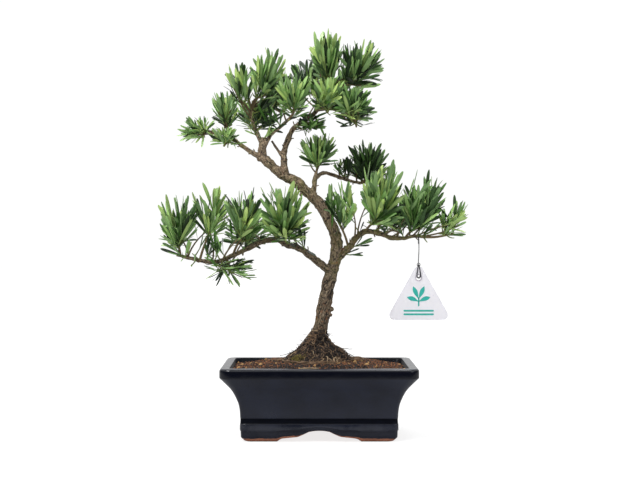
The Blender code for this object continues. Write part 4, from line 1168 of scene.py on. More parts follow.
def leaf_tree():
    """Set the leaf blank on every point, then twist, arch and paint each leaf."""
    tree, nodes, put, end = new_group(
        "Leaf sprays", "GeometryNodeTree",
        [("Geometry", "Geometry"), ("Leaf blank", "Object"), ("Leaf scale", "Float", 1.0),
         ("Arch", "Float", 1.0)] + [(name, "Material") for name in LEAF_PARTS],
        [("Geometry", "Geometry")])
    blank = nodes.out("GeometryNodeObjectInfo", {"Object": put["Leaf blank"]}, "Geometry")
    ahead = nodes.carried("ahead")
    turn = nodes.out("FunctionNodeAxesToRotation", {0: ahead, 1: nodes.carried("face")},
                     primary_axis="Y", secondary_axis="Z")
    leaves = nodes.out("GeometryNodeInstanceOnPoints", {
        "Points": put["Geometry"], "Instance": blank, "Rotation": turn,
        "Scale": nodes.scaled(nodes.carried("size"), put["Leaf scale"])})
    real = nodes.out("GeometryNodeRealizeInstances", {"Geometry": leaves})
    along = nodes.carried("along", "FLOAT")
    twisted = nodes.out("ShaderNodeVectorRotate", {
        "Vector": nodes.out("GeometryNodeInputPosition"), "Center": nodes.carried("root"),
        "Axis": ahead, "Angle": nodes.times(along, nodes.carried("twist", "FLOAT"))})
    bend = nodes.times(nodes.times(along, along), put["Arch"])
    arch = nodes.scaled(nodes.carried("droop"), bend)
    place = nodes.out("ShaderNodeVectorMath", {0: twisted, 1: arch}, operation="ADD")
    painted = nodes.out("GeometryNodeSetPosition", {"Geometry": real, "Position": place})
    strip = nodes.carried("strip", "INT")
    for number, name in enumerate(LEAF_PARTS):
        chosen = nodes.out("FunctionNodeCompare", {2: strip, 3: number}, data_type="INT",
                           operation="EQUAL")
        painted = nodes.out("GeometryNodeSetMaterial", {
            "Geometry": painted, "Selection": chosen, "Material": put[name]})
    nodes.feed(end.inputs[0], painted)
    return tree


def point_cloud(name, leaves):
    """The leaves' roots as loose points that carry how each leaf lies."""
    roots = [leaf.root + SHIFT for leaf in leaves]
    mesh = mesh_from(name, roots, [])
    rows = {
        "root": roots,
        "ahead": [leaf.ahead for leaf in leaves],
        "face": [leaf.face for leaf in leaves],
        "size": [(leaf.width, leaf.length, leaf.width) for leaf in leaves],
        "droop": [leaf.droop for leaf in leaves],
    }
    for row, values in rows.items():
        write_attribute(mesh, row, [tuple(v) for v in values], "FLOAT_VECTOR")
    write_attribute(mesh, "twist", [leaf.twist for leaf in leaves])
    return scene_object(name, mesh)


# Each tone of leaf: its finish's slot, and the colours of blade, rib and underside; the darker undersides
# are painted shade.
LEAF_COLOURS = {
    "spring": ("leaf_young", (173, 199, 112), (192, 214, 136), (142, 168, 98)),
    "young": ("leaf_young", (150, 186, 110), (176, 207, 136), (122, 154, 96)),
    "mid": ("leaf_mid", (117, 157, 86), (148, 185, 112), (95, 126, 76)),
    "deep": ("leaf_dark", (60, 98, 38), (90, 130, 58), (55, 84, 42)),
    "shade": ("leaf_dark", (22, 42, 12), (42, 66, 28), (32, 52, 26)),
}
LEAF_FINISHES = (("", 0.40, 0.30), ("rib_", 0.46, 0.15), ("underside_", 0.60, 0.0))


def twig_tree():
    """Sweep a round section along every path, as thick as its points say."""
    tree, nodes, put, end = new_group(
        "Swept paths", "GeometryNodeTree",
        [("Geometry", "Geometry"), ("Sides", "Int", 8), ("Thickness", "Float", 1.0),
         ("Finish", "Material")],
        [("Geometry", "Geometry")])
    curve = nodes.out("GeometryNodeMeshToCurve", {"Mesh": put["Geometry"]})
    section = nodes.out("GeometryNodeCurvePrimitiveCircle", {"Resolution": put["Sides"], "Radius": 1.0})
    thick = nodes.times(nodes.carried("thickness", "FLOAT"), put["Thickness"])
    swept = nodes.out("GeometryNodeCurveToMesh", {
        "Curve": curve, "Profile Curve": section, "Scale": thick, "Fill Caps": True})
    real = nodes.out("GeometryNodeRealizeInstances", {"Geometry": swept})
    nodes.feed(end.inputs[0], nodes.out("GeometryNodeSetMaterial", {
        "Geometry": real, "Material": put["Finish"]}))
    return tree


def swept_mesh(name, paths, tree, sides, material):
    """Sweep paths, as plain lines whose points carry their thickness, into one mesh."""
    verts, edges, thickness = [], [], []
    for route, radii in paths:
        first = len(verts)
        verts += [p + SHIFT for p in route]
        thickness += radii
        edges += [(first + i, first + i + 1) for i in range(len(route) - 1)]
    mesh = mesh_from(name + "_lines", verts, [], edges)
    write_attribute(mesh, "thickness", thickness)
    lines = scene_object(mesh.name, mesh)
    mesh = grown(lines, tree, {"Sides": sides, "Thickness": 1.0, "Finish": material})
    remove_object(lines)
    facing_out(mesh)
    mesh.shade_smooth()
    return mesh


def make_foliage(limbs, sweep):
    stems = {name: mass_stem(mass, limbs) for name, mass in MASSES.items()}
    obstacles = [row for limb in limbs.values() for row in samples(*limb)]
    eye = eye_centre()
    obstacles += [(*eye, TAG_KEEP_CLEAR), (*(eye - UP * TAG_KEEP_CLEAR), TAG_KEEP_CLEAR)]
    leaves, twigs = [], {"brown": bough_spurs(limbs), "green": []}
    for name in MASSES:
        grow_mass(name, limbs, stems, obstacles, leaves, twigs)
    blank = leaf_blank()
    tree = leaf_tree()
    for number, (tone, (slot_name, *colours)) in enumerate(LEAF_COLOURS.items()):
        chosen = [leaf for leaf in leaves if leaf.tone == number]
        values = {"Leaf blank": blank, "Leaf scale": 1.0, "Arch": 1.0}
        for part, rgb, (prefix, gloss, coat) in zip(LEAF_PARTS, colours, LEAF_FINISHES):
            values[part] = leaf_material(f"leaf_{prefix}{tone}", colour(*rgb), gloss, coat)
        cloud = point_cloud(f"leaf_roots_{tone}", chosen)
        mesh = grown(cloud, tree, values)
        remove_object(cloud)
        smooth_shaded(mesh, 50)
        masses = sorted({leaf.mass for leaf in chosen})
        finish_piece(f"leaves_{tone}", mesh, "plant", slot_name, *masses)
    remove_object(blank)
    for kind, tone, darker in (("brown", colour(104, 88, 58), 0.4), ("green", colour(108, 122, 58), 0.35)):
        material = twig_material(f"twig_{kind}", tone, darker)
        mesh = swept_mesh(f"twigs_{kind}", twigs[kind], sweep, 7, material)
        finish_piece(f"twigs_{kind}", mesh, "plant", "bark")


# ---- pot ----

SIDE_X = [i * 0.0025 for i in range(-26, 27)]
SIDE_Y = [i * 0.0025 for i in range(-14, 15)]
QUARTERS = ((1, 1), (-1, 1), (-1, -1), (1, -1))
CORNER_STEPS = 12
STEP_ROUNDING = 0.0009
GLAZE_WAVE = 0.00022
GROOVE = (0.0213, 0.0281)
FLUSH_INSET = 0.0240
UNDERSIDE_INSET = 0.025
FOOT_HEIGHTS = [0.0012, 0.0022, 0.0034, 0.0046, 0.0054, 0.0066, 0.0080, 0.0096, 0.0112]
POT_PAINTS = ("thin_glaze", "bare_clay", "pooled_glaze")
# Between two heights, how thin the glaze is, which also paints a highlight, and how strong the painted
# shade is.
THIN_AND_HIGHLIT_BANDS = ((0.0125, 0.0150, 0.7), (0.0203, 0.0215, 0.4), (0.0, 0.0118, 0.2))
SHADED_BANDS = ((0.0216, 0.0280, 0.87), (0.0779, 1.0, 0.85), (0.0, 0.0125, 0.35))
# The lip's rings: a share of the way over it, with how far each is under the top.
LIP_RINGS = ((0.30, 0.0), (0.55, 0.0), (0.80, 0.0), (1.06, 0.0), (1.12, 0.0003), (1.15, 0.0008),
             (1.16, 0.0014))


def pot_ring(inset, corner):
    """Plan points round a rounded rectangle, in the same columns at every size."""
    half_x, half_y = HALF_X - inset, HALF_Y - inset
    sides = ([(half_x, y) for y in SIDE_Y], [(-x, half_y) for x in SIDE_X],
             [(-half_x, -y) for y in SIDE_Y], [(x, -half_y) for x in SIDE_X])
    ring = []
    for number, (side, (sign_x, sign_y)) in enumerate(zip(sides, QUARTERS)):
        ring += side
        for i in range(CORNER_STEPS + 1):
            turn = math.pi / 2 * (number + i / CORNER_STEPS)
            ring.append((sign_x * (half_x - corner) + corner * math.cos(turn),
                         sign_y * (half_y - corner) + corner * math.sin(turn)))
    return ring


def outer_ring(inset):
    return pot_ring(inset, RIM_CORNER - OUTER_CORNER_SHARE * inset)


def rounded_profile():
    """The pot's outer profile with every step softened and the body one smooth curve."""
    points = [Vector(row) for row in POT_PROFILE]
    fine = [points[0]]
    for a, b, c in zip(points, points[1:], points[2:]):
        before, after = a - b, c - b
        reach = 0.48 * min(before.length, after.length)
        if b.x < BODY_FOOT or b.x > BODY_TOP:
            reach = min(reach, STEP_ROUNDING)
        fine += arched(b + before.normalized() * reach, b, b + after.normalized() * reach, 4)
    fine.append(points[-1])
    return [p.x for p in fine], [p.y for p in fine]


PROFILE_Z, PROFILE_INSET = rounded_profile()


def outer_inset(z):
    return float(np.interp(z, PROFILE_Z, PROFILE_INSET))


def inner_inset(z):
    """How far the pot's inner wall stands in from the rim's outer edge at a height."""
    share = (POT_HEIGHT - z) / (POT_HEIGHT - FLOOR_TOP)
    upright = min(1.0, share / UPRIGHT_SHARE)
    return LIP_WIDTH + (WALL_FOOT_INSET - LIP_WIDTH) * share ** WALL_CURVE * upright


def inner_corner(z):
    return max(SMALLEST_CORNER, RIM_CORNER - INNER_CORNER_SHARE * inner_inset(z))


def arch_rise(x, y):
    """Height of the pot's underside: the front arch and the side arch, run through."""
    widths, rises = zip(*reversed(ARCH))
    side = float(np.interp(abs(y), [w * ARCH_SIDE_SHARE for w in widths], rises))
    return max(float(np.interp(abs(x), widths, rises)), side)


def edge_arch(x, y, half_x, half_y):
    """The arch's rise at a point of the pot's outside, from the arch that cuts that side."""
    if abs(abs(y) - half_y) < 0.0005 or abs(x) < 0.07 and abs(y) > 0.04:
        return arch_rise(x, 1.0)
    if abs(abs(x) - half_x) < 0.0005:
        return arch_rise(1.0, y)
    return 0.0


def groove_depth(y):
    """How deep the groove over the foot is cut: in full along the front, faint at the ends."""
    return 0.25 + 0.75 * clamped((abs(y) - 0.0545) / 0.0045)


def banded(z, bands):
    return next((value for low, high, value in bands if low < z < high), 0.0)


def make_pot():
    rings, paints, dark_rings = [], [], []

    def add_ring(points, thin, bare, painted_shade=0.0, dark=False):
        if dark:
            dark_rings.append(len(rings))
        rings.append(points)
        for share in bare if isinstance(bare, list) else [bare] * len(points):
            paints.append((thin, share, painted_shade))

    def add_level(plan, z, *shares, **settings):
        add_ring([(x, y, z) for x, y in plan], *shares, **settings)

    base = outer_ring(UNDERSIDE_INSET)
    arches = [edge_arch(x, y, HALF_X - UNDERSIDE_INSET, HALF_Y - UNDERSIDE_INSET) for x, y in base]
    for step in range(1, 26):
        share = step / 25
        ring = [(x * 0.93 * share, y * 0.93 * share) for x, y in base]
        add_ring([(x, y, arch_rise(x, y)) for x, y in ring], 0.0, 1.0)
    for shrink, lift in ((-0.0014, 0.00005), (-0.0006, 0.0002), (-0.00015, 0.0006)):
        ring = []
        for k, rise in enumerate(arches):
            z = rise + lift
            ring.append((*outer_ring(outer_inset(z) - shrink)[k], z))
        add_ring(ring, 0.0, 1.0)
    flush = outer_ring(FLUSH_INSET)
    plans = {}
    for z in FOOT_HEIGHTS + [z for z in PROFILE_Z if z > 0.0118]:
        ring, bare = [], []
        for k, rise in enumerate(arches):
            here = z if z > FOOT_TOP else rise + z * (FOOT_TOP - rise) / FOOT_TOP
            key = round(here, 6)
            if key not in plans:
                plans[key] = outer_ring(outer_inset(here))
            x, y = plans[key][k]
            if GROOVE[0] < here < GROOVE[1]:
                x, y = Vector(flush[k]).lerp(Vector((x, y)), groove_depth(y))
            ring.append((x, y, here))
            bare.append(clamped(1.30 - (here - rise * 0.55) / 0.0052))
        # The groove's rings get painted shade and the near-black finish.
        add_ring(ring, banded(z, THIN_AND_HIGHLIT_BANDS), bare, banded(z, SHADED_BANDS),
                 dark=GROOVE[0] < z < GROOVE[1])
    # The rim's rounded front edge: a painted highlight on the upper rings, and painted darkness for a dark
    # reflection on the lower rings.
    for i in range(1, 7):
        turn = math.pi / 12 * i
        inset = RIM_EDGE * (1 - math.cos(turn))
        z = POT_HEIGHT - RIM_EDGE + RIM_EDGE * math.sin(turn)
        add_level(pot_ring(inset, RIM_CORNER - inset), z, 0.5 if i > 3 else 0.0, 0.0,
                  0.8 if i < 4 else 0.0)
    # Over the lip: a faint line of paler glaze and painted highlight, and painted shade on the rings that
    # drop inside.
    for share, drop in LIP_RINGS:
        inset = RIM_EDGE + (LIP_WIDTH - LIP_EDGE - RIM_EDGE) * share
        corner = RIM_CORNER + (inner_corner(POT_HEIGHT) - RIM_CORNER) * min(1.0, share)
        add_level(pot_ring(inset, corner), POT_HEIGHT - drop, 0.45 if 0.9 < share < 1.1 else 0.1,
                  0.0, float(share > 1.1), dark=share > 1.1)
    # The inner wall, near-black with painted shade.
    for z in (0.0865, 0.0845, 0.080, 0.070, 0.050, 0.030, 0.0215):
        add_level(pot_ring(inner_inset(z), inner_corner(z)), z, 0.0, float(z <= 0.082), 0.87, dark=True)
    for share in (0.97, 0.6, 0.3, 0.05):
        plan = pot_ring(WALL_FOOT_INSET, SMALLEST_CORNER)
        add_level([(x * share, y * share) for x, y in plan], FLOOR_TOP, 0.0, 1.0)
    count = len(base)
    verts = []
    for x, y, z in (point for ring in rings for point in ring):
        wave = noise.noise(Vector((x * 55, y * 55, z * 55))) * GLAZE_WAVE
        wave *= min(1.0, z / 0.006)
        out = Vector((x, y, 0)).normalized() * wave
        verts.append((x + out.x + POT_X + SHIFT.x, y + out.y + SHIFT.y, z + wave * 0.5 * (z < 0.0899)))
    first, sides, last = lofted(len(rings), count)
    mesh = mesh_from("pot_glazed", verts, [*sides, first, last])
    for name, values in zip(POT_PAINTS, zip(*paints)):
        write_attribute(mesh, name, values)
    smooth_shaded(mesh, 42)
    mesh.materials.append(glaze_material())
    # A near-black second finish for the dark rings: painted shade in the groove, under the lip and inside
    # the wall.
    mesh.materials.append(mottled(
        "pooled_glaze", (0.010, 0.002, colour(3, 5, 14), 0.3, 0.5, 0.35, 0.2), (0.0003, 0.4),
        (("Specular IOR Level", 0.12),)))
    for ring in dark_rings:
        for face in range(ring * count, (ring + 1) * count):
            mesh.polygons[face].material_index = 1
    finish_piece("pot_glazed", mesh, "plant", "glaze", "pot")


# ---- soil, roots and moss ----

SOIL_SIDE_STEPS = 48
SOIL_RINGS = 34
BED_SHARES = (0.02, 0.4, 0.75, 0.93)


def soil_height(share):
    """Height of the soil's top from the wall, share 0, to the heap's edge, share 1."""
    return SOIL_EDGE_TOP + (SOIL_HEAP_TOP - SOIL_EDGE_TOP) * (0.5 - 0.5 * math.cos(math.pi * share))


def soil_ring(share):
    inset = inner_inset(SOIL_EDGE_TOP) + SOIL_GAP
    edge_x, edge_y = HALF_X - inset, HALF_Y - inset
    within = min(1.0, share)
    size_x = edge_x + (HEAP_HALF_X - edge_x) * within
    size_y = edge_y + (HEAP_HALF_Y - edge_y) * within
    corner = SOIL_CORNER + (HEAP_CORNER - SOIL_CORNER) * within
    power = 2 + 10 * (1 - min(1.0, corner / min(size_x, size_y))) ** 2
    shrink = 1.0 if share <= 1 else max(0.0, 2 - share)
    ring = []
    for number in range(4):
        for i in range(SOIL_SIDE_STEPS):
            turn = math.pi / 2 * (number + i / SOIL_SIDE_STEPS)
            cosine, sine = math.cos(turn), math.sin(turn)
            scale = (abs(cosine) ** power + abs(sine) ** power) ** (-1 / power)
            ring.append((size_x * scale * cosine * shrink, size_y * scale * sine * shrink,
                         soil_height(within)))
    return ring


def crumbs(x, y):
    return (noise.noise(Vector((x * 210, y * 210, 1.5))) * 0.0011
            + noise.noise(Vector((x * 520, y * 520, 4.5))) * 0.0007)


def make_soil_bed():
    """A crumbly bed that fills the pot; returns its top for the grains."""
    rings = []
    for share in BED_SHARES:
        z = FLOOR_TOP + (SOIL_EDGE_TOP - FLOOR_TOP) * share
        inset = inner_inset(z) - inner_inset(SOIL_EDGE_TOP)
        rings.append([(x * (1 - inset / 0.107), y * (1 - inset / 0.072), z) for x, y, _ in soil_ring(0.0)])
    rings += [soil_ring(i / (SOIL_RINGS - 1) * 1.97) for i in range(SOIL_RINGS)]
    verts = []
    for number, ring in enumerate(rings):
        for x, y, z in ring:
            rough = crumbs(x, y) if number > len(BED_SHARES) else 0.0
            verts.append((x + POT_X + SHIFT.x, y + SHIFT.y, z + rough))
    count = len(rings[0])
    first, sides, last = lofted(len(rings), count)
    mesh = mesh_from("soil_bed", verts, [*sides, first, last])
    smooth_shaded(mesh, 60)
    # A near-black bed, which shows in the gaps between the grains.
    mesh.materials.append(earth_material("damp_soil", (22, 15, 12)))
    finish_piece("soil_bed", mesh, "plant", "soil", "soil")
    return scene_object("soil_top", mesh_from("soil_top", verts, sides[len(BED_SHARES) * count:]))


def grain_shapes(count, flat, seed):
    """Crushed lumps, each the hull of a few random points."""
    rng = random.Random(seed)
    group = bpy.data.collections.new(f"grain_shapes_{seed}")
    bpy.context.scene.collection.children.link(group)
    for number in range(count):
        bm = bmesh.new()
        for _ in range(13):
            p = Vector([rng.gauss(0, 1) for _ in range(3)]).normalized()
            p *= rng.uniform(0.8, 1.05)
            bm.verts.new((p.x * 0.5, p.y * 0.5 * rng.uniform(0.7, 1.0), p.z * 0.5 * flat))
        hull = bmesh.ops.convex_hull(bm, input=bm.verts)
        spare = [v for v in hull["geom_interior"] if isinstance(v, bmesh.types.BMVert)]
        bmesh.ops.delete(bm, geom=spare, context="VERTS")
        bmesh.ops.recalc_face_normals(bm, faces=bm.faces)
        mesh = bpy.data.meshes.new(f"grain_{seed}_{number}")
        bm.to_mesh(mesh)
        bm.free()
        group.objects.link(bpy.data.objects.new(mesh.name, mesh))
    return group


def scatter_tree():
    """Strew small shapes over a surface, turned and sized at random."""
    tree, nodes, put, end = new_group(
        "Strewn grains", "GeometryNodeTree",
        [("Geometry", "Geometry"), ("Shapes", "Collection"), ("Spacing", "Float", 0.003),
         ("Density", "Float", 100000.0), ("Smallest", "Float", 0.002), ("Largest", "Float", 0.004),
         ("Sink", "Float", 0.3), ("Seed", "Int", 1), ("Finish", "Material")],
        [("Geometry", "Geometry")])
    spread = nodes.out("GeometryNodeDistributePointsOnFaces", {
        "Mesh": put["Geometry"], "Distance Min": put["Spacing"], "Density Max": put["Density"],
        "Seed": put["Seed"]}, "Points", distribute_method="POISSON")
    shapes = nodes.out("GeometryNodeCollectionInfo", {
        "Collection": put["Shapes"], "Separate Children": True, "Reset Children": True})
    turn = nodes.out("FunctionNodeRandomValue", {1: (math.tau, math.tau, math.tau), "Seed": put["Seed"]},
                     data_type="FLOAT_VECTOR")
    size = nodes.out("FunctionNodeRandomValue", {
        2: put["Smallest"], 3: put["Largest"], "Seed": nodes.plus(put["Seed"], 5.0)}, 1,
        data_type="FLOAT")
    pick = nodes.out("FunctionNodeRandomValue", {4: 0, 5: 50}, 2, data_type="INT")
    strewn = nodes.out("GeometryNodeInstanceOnPoints", {
        "Points": spread, "Instance": shapes, "Pick Instance": True, "Instance Index": pick,
        "Rotation": turn, "Scale": size})
    real = nodes.out("GeometryNodeRealizeInstances", {"Geometry": strewn})
    drop = nodes.out("ShaderNodeCombineXYZ", {"Z": nodes.times(put["Sink"], -1.0)})
    sunk = nodes.out("GeometryNodeSetPosition", {"Geometry": real, "Offset": drop})
    nodes.feed(end.inputs[0], nodes.out("GeometryNodeSetMaterial", {
        "Geometry": sunk, "Material": put["Finish"]}))
    return tree


MOUND_SIDES = 200
MOUND_LEVELS = 64


def mound_radius(z, turn):
    radius = float(np.interp(z, MOUND_Z, MOUND_RADII))
    lobes = 1 + 0.07 * math.sin(3 * turn + 1.0) + 0.05 * math.sin(5 * turn + 2.4)
    return radius * (1 + (lobes - 1) * clamped((0.128 - z) / 0.02))


def mound_point(z, turn, out=0.0, lift=0.0):
    """A point on the root mound, or a little off it, in the plan frame."""
    radius = mound_radius(z, turn) + out
    middle = float(np.interp(z, MOUND_Z, MOUND_X))
    return Vector((middle + radius * math.cos(turn), radius * 0.94 * math.sin(turn), z + lift))


def make_mound():
    """The knotted mound under the trunk; returns its side for the grains."""
    low, high = MOUND_Z[0], MOUND_Z[-1]
    verts = []
    for i in range(MOUND_LEVELS):
        z = low + (high - low) * i / (MOUND_LEVELS - 1)
        for k in range(MOUND_SIDES):
            turn = math.tau * k / MOUND_SIDES
            p = Vector((math.cos(turn) * 3.2, math.sin(turn) * 3.2, z * 70))
            rough = abs(noise.noise(p * 1.6)) * 0.0052 + noise.noise(p * 4.5) * 0.0022 - 0.0026
            rough += noise.noise(p * 11) * 0.0016
            verts.append(mound_point(z, turn, rough * min(1.0, (high - z) / 0.012)) + SHIFT)
    first, sides, last = lofted(MOUND_LEVELS, MOUND_SIDES)
    mesh = mesh_from("root_mound", verts, [first, *sides, last])
    mesh.shade_smooth()
    mesh.materials.append(earth_material("root_mat", (32, 26, 22), 0.6, 0.8, 0.0007))
    finish_piece("root_mound", mesh, "plant", "soil")
    strewn = sides[:(MOUND_LEVELS - 8) * MOUND_SIDES]
    return scene_object("mound_side", mesh_from("mound_side", verts, strewn))


def tangled_roots(count, seed, thinnest, thickest, loose=0.0024):
    """Fine roots that wander over the mound every way, in and out of the soil on it."""
    rng = random.Random(seed)
    paths = []
    for _ in range(count):
        turn = rng.uniform(0, math.tau)
        z = 0.0920 + 0.040 * rng.random() ** 1.5
        way = rng.choice((rng.uniform(0, math.tau), -math.pi / 2 + rng.uniform(-0.7, 0.7)))
        curl = rng.uniform(-0.18, 0.18)
        arch = rng.uniform(0.0003, loose)
        steps = rng.randint(4, 10)
        pace = rng.uniform(0.0008, 0.0017)
        route = []
        for i in range(steps + 1):
            rise = math.sin(math.pi * i / steps) * arch
            route.append(mound_point(z, turn, 0.0003 + rise * 0.8, rise * 0.6))
            way += curl + rng.uniform(-0.5, 0.5)
            turn += math.cos(way) * pace / mound_radius(z, turn)
            z = min(0.133, max(0.0915, z + math.sin(way) * pace * 0.8))
        paths.append((route, thinned(route, rng.uniform(thinnest, thickest), 0.5)))
    return paths


def stray_roots(count, seed):
    """A few root ends that stand off the mound in the air."""
    rng = random.Random(seed)
    paths = []
    for _ in range(count):
        turn = rng.uniform(0, math.tau)
        z = rng.uniform(0.0965, 0.128)
        root = mound_point(z, turn, -0.0008)
        out = Vector((math.cos(turn), math.sin(turn), rng.uniform(-0.25, 0.75))).normalized()
        length = rng.uniform(0.003, 0.009)
        curl = Vector([rng.uniform(-0.5, 0.5) for _ in range(3)])
        route = []
        for i in range(7):
            t = i / 6
            p = root + out * length * t + curl * length * t * t * 0.6
            route.append(Vector((p.x, p.y, max(p.z, 0.0925))))
        paths.append((route, thinned(route, rng.uniform(0.00022, 0.00048), 0.55)))
    return paths


# Roots that lie where they do in the picture: a thickness and points in the plan frame.
PLACED_ROOTS = {kind: metres(rows) for kind, rows in {
    "dark": (
        (5, ((-180, -60, 1035), (-260, -80, 1040), (-335, -90, 1015), (-410, -100, 1000))),
        (5, ((300, -40, 1075), (390, -60, 1090), (460, -60, 1080), (500, -60, 1082))),
        (4, ((360, -100, 1030), (450, -120, 1030), (510, -130, 990), (505, -140, 960))),
        (5, ((130, -60, 1200), (170, -80, 1235), (205, -90, 1250)))),
    "brown": (
        (6, ((-160, -490, 915), (-50, -515, 935), (80, -505, 944), (210, -510, 938),
             (330, -485, 930), (420, -430, 915))),
        (5, ((-20, -455, 950), (100, -475, 965), (240, -465, 960), (340, -420, 945)))),
    "pale": (
        (7, ((-140, -620, 890), (-80, -700, 902), (-20, -745, 908), (80, -752, 906))),
        (5, ((175, -345, 1015), (188, -400, 995), (180, -425, 960), (192, -445, 930))),
        (4.5, ((290, -325, 1005), (262, -385, 990), (266, -415, 960), (240, -430, 930))),
        (4, ((120, -360, 990), (140, -400, 985), (100, -425, 965))),
        (4, ((330, -270, 990), (300, -350, 965), (315, -385, 940))),
        (4, ((205, -350, 985), (230, -400, 975), (215, -435, 950)))),
}.items()}


def placed_roots(kind):
    paths = []
    for thick, points in PLACED_ROOTS[kind]:
        route = smooth_route(points, 0.0015)
        paths.append((route, thinned(route, thick, 0.45)))
    return paths


def surface_roots(seed):
    """Pale brown roots that snake over the soil in front of the mound and round it."""
    rng = random.Random(seed)
    paths = []
    for _ in range(26):
        turn = rng.uniform(0, math.tau)
        reach = rng.uniform(0.040, 0.056)
        sweep_angle = rng.uniform(0.4, 1.1) * rng.choice((-1, 1))
        route = []
        for i in range(13):
            t = i / 12
            angle = turn + sweep_angle * t
            away = reach + 0.006 * math.sin(t * 5 + turn * 3)
            x, y = away * math.cos(angle) * 1.15, away * 0.94 * math.sin(angle)
            z = soil_height(soil_share(x, y)) + 0.0012 + 0.0012 * abs(math.sin(t * 7 + turn))
            route.append(Vector((POT_X + x - 0.003, y, z)))
        paths.append((route, thinned(route, rng.uniform(0.00035, 0.0008), 0.4)))
    return paths


def soil_share(x, y):
    """How far in from the wall a plan point is, from 0 at the wall to 1 at the heap."""
    inset = inner_inset(SOIL_EDGE_TOP)
    gap_x = (HALF_X - inset - abs(x)) / (HALF_X - inset - HEAP_HALF_X)
    gap_y = (HALF_Y - inset - abs(y)) / (HALF_Y - inset - HEAP_HALF_Y)
    return clamped(min(gap_x, gap_y))


# Each layer of grains: its name, what it lies on and its shapes, its finish as a name, a
# tone, darker and lighter, then spacing, density, smallest, largest, sink and seed.
GRAINS = (
    ("soil_grains_brown", "top", "lumps", ("brown_grain", (128, 82, 52), 0.6, 0.55),
     (0.0025, 200000.0, 0.0016, 0.0034, 0.0002, 11)),
    ("soil_grains_dark", "top", "lumps", ("dark_grain", (36, 24, 19), 0.4, 0.4),
     (0.0034, 90000.0, 0.0020, 0.0040, 0.0002, 23)),
    ("soil_chips_tan", "top", "chips", ("tan_chip", (178, 140, 92), 0.3, 0.2),
     (0.010, 3000.0, 0.0030, 0.0065, -0.0004, 31)),
    ("mound_grains_dark", "side", "lumps", ("mound_grain_dark", (42, 35, 31), 0.5, 0.6),
     (0.0023, 180000.0, 0.0012, 0.0036, -0.0004, 47)),
    ("mound_grains_brown", "side", "lumps", ("mound_grain_brown", (132, 102, 76), 0.45, 0.6),
     (0.0036, 120000.0, 0.0009, 0.0026, -0.0006, 53)),
)
GRAIN_SIZES = ("Spacing", "Density", "Smallest", "Largest", "Sink", "Seed")


def make_ground_cover(sweep):
    grounds = {"top": make_soil_bed(), "side": make_mound()}
    tree = scatter_tree()
    shapes = {"lumps": grain_shapes(9, 0.85, 3), "chips": grain_shapes(6, 0.42, 5)}
    for name, ground, shape, finish, sizes in GRAINS:
        values = {"Shapes": shapes[shape], "Finish": earth_material(*finish)}
        values.update(zip(GRAIN_SIZES, sizes))
        finish_piece(name, grown(grounds[ground], tree, values), "plant", "soil")
    for spare in grounds.values():
        remove_object(spare)
    for group in shapes.values():
        for shape in list(group.objects):
            remove_object(shape)
        bpy.data.collections.remove(group)
    fibres = (
        ("dark", (48, 38, 32), 0.35, 0.5, 0.85,
         tangled_roots(460, 61, 0.00030, 0.00075) + stray_roots(110, 67)),
        ("brown", (116, 92, 70), 0.4, 0.35, 0.85,
         tangled_roots(330, 71, 0.00028, 0.00065) + surface_roots(79)),
        ("pale", (184, 160, 126), 0.35, 0.25, 0.8, tangled_roots(60, 83, 0.00022, 0.00040)),
    )
    for kind, tone, darker, lighter, gloss, paths in fibres:
        material = earth_material(f"root_fibre_{kind}", tone, darker, lighter, 0.0005, gloss)
        name = f"root_fibres_{kind}"
        finish_piece(name, swept_mesh(name, paths + placed_roots(kind), sweep, 5, material),
                     "plant", "bark")
    make_moss(sweep)


# Cushions of moss, each on the mound at a turn and height, with its half sizes.
MOSS_PATCHES = (
    (4.05, 0.0975, 0.24, 0.0048), (0.55, 0.0970, 0.16, 0.0035), (2.35, 0.0990, 0.16, 0.0036),
    (1.50, 0.1010, 0.12, 0.0030),
)
MOSS_BLADES = 210
MOSS_BLADE_RADII = [0.00036, 0.00032, 0.00008]


def make_moss(sweep):
    """Small tufts of moss, as short blades in low cushions on the mound."""
    rng = random.Random(97)
    paths = []
    for turn, height, half_turn, half_height in MOSS_PATCHES:
        for _ in range(MOSS_BLADES):
            away = rng.random() ** 0.6 * rng.uniform(0.7, 1.3)
            way = rng.uniform(0, math.tau)
            root = mound_point(height + away * half_height * math.sin(way),
                               turn + away * half_turn * math.cos(way), 0.0002, 0.0004)
            tall = 0.0022 * (1 - 0.5 * away) * rng.uniform(0.4, 1.6)
            lean = Vector((math.cos(turn) * 0.5 + rng.uniform(-0.6, 0.6),
                           math.sin(turn) * 0.5 + rng.uniform(-0.6, 0.6), 1)).normalized()
            paths.append(([root, root + lean * tall * 0.6, root + lean * (tall + 0.0008)],
                          MOSS_BLADE_RADII))
    moss = earth_material("moss_green", (134, 122, 62), 0.65, 0.4, 0.0008, 0.9)
    finish_piece("moss_tufts", swept_mesh("moss_tufts", paths, sweep, 4, moss), "plant", "leaf_young")


# ---- tag and wire ----


def eye_centre():
    """The middle of the wire's eye, on the centre line of the bough that it goes round."""
    route = smooth_route(BOUGHS["bough_lower_right"].route, 0.011)
    for a, b in zip(route, route[1:]):
        if a.x <= EYE_X <= b.x:
            return a.lerp(b, (EYE_X - a.x) / (b.x - a.x))
    return route[-1].copy()


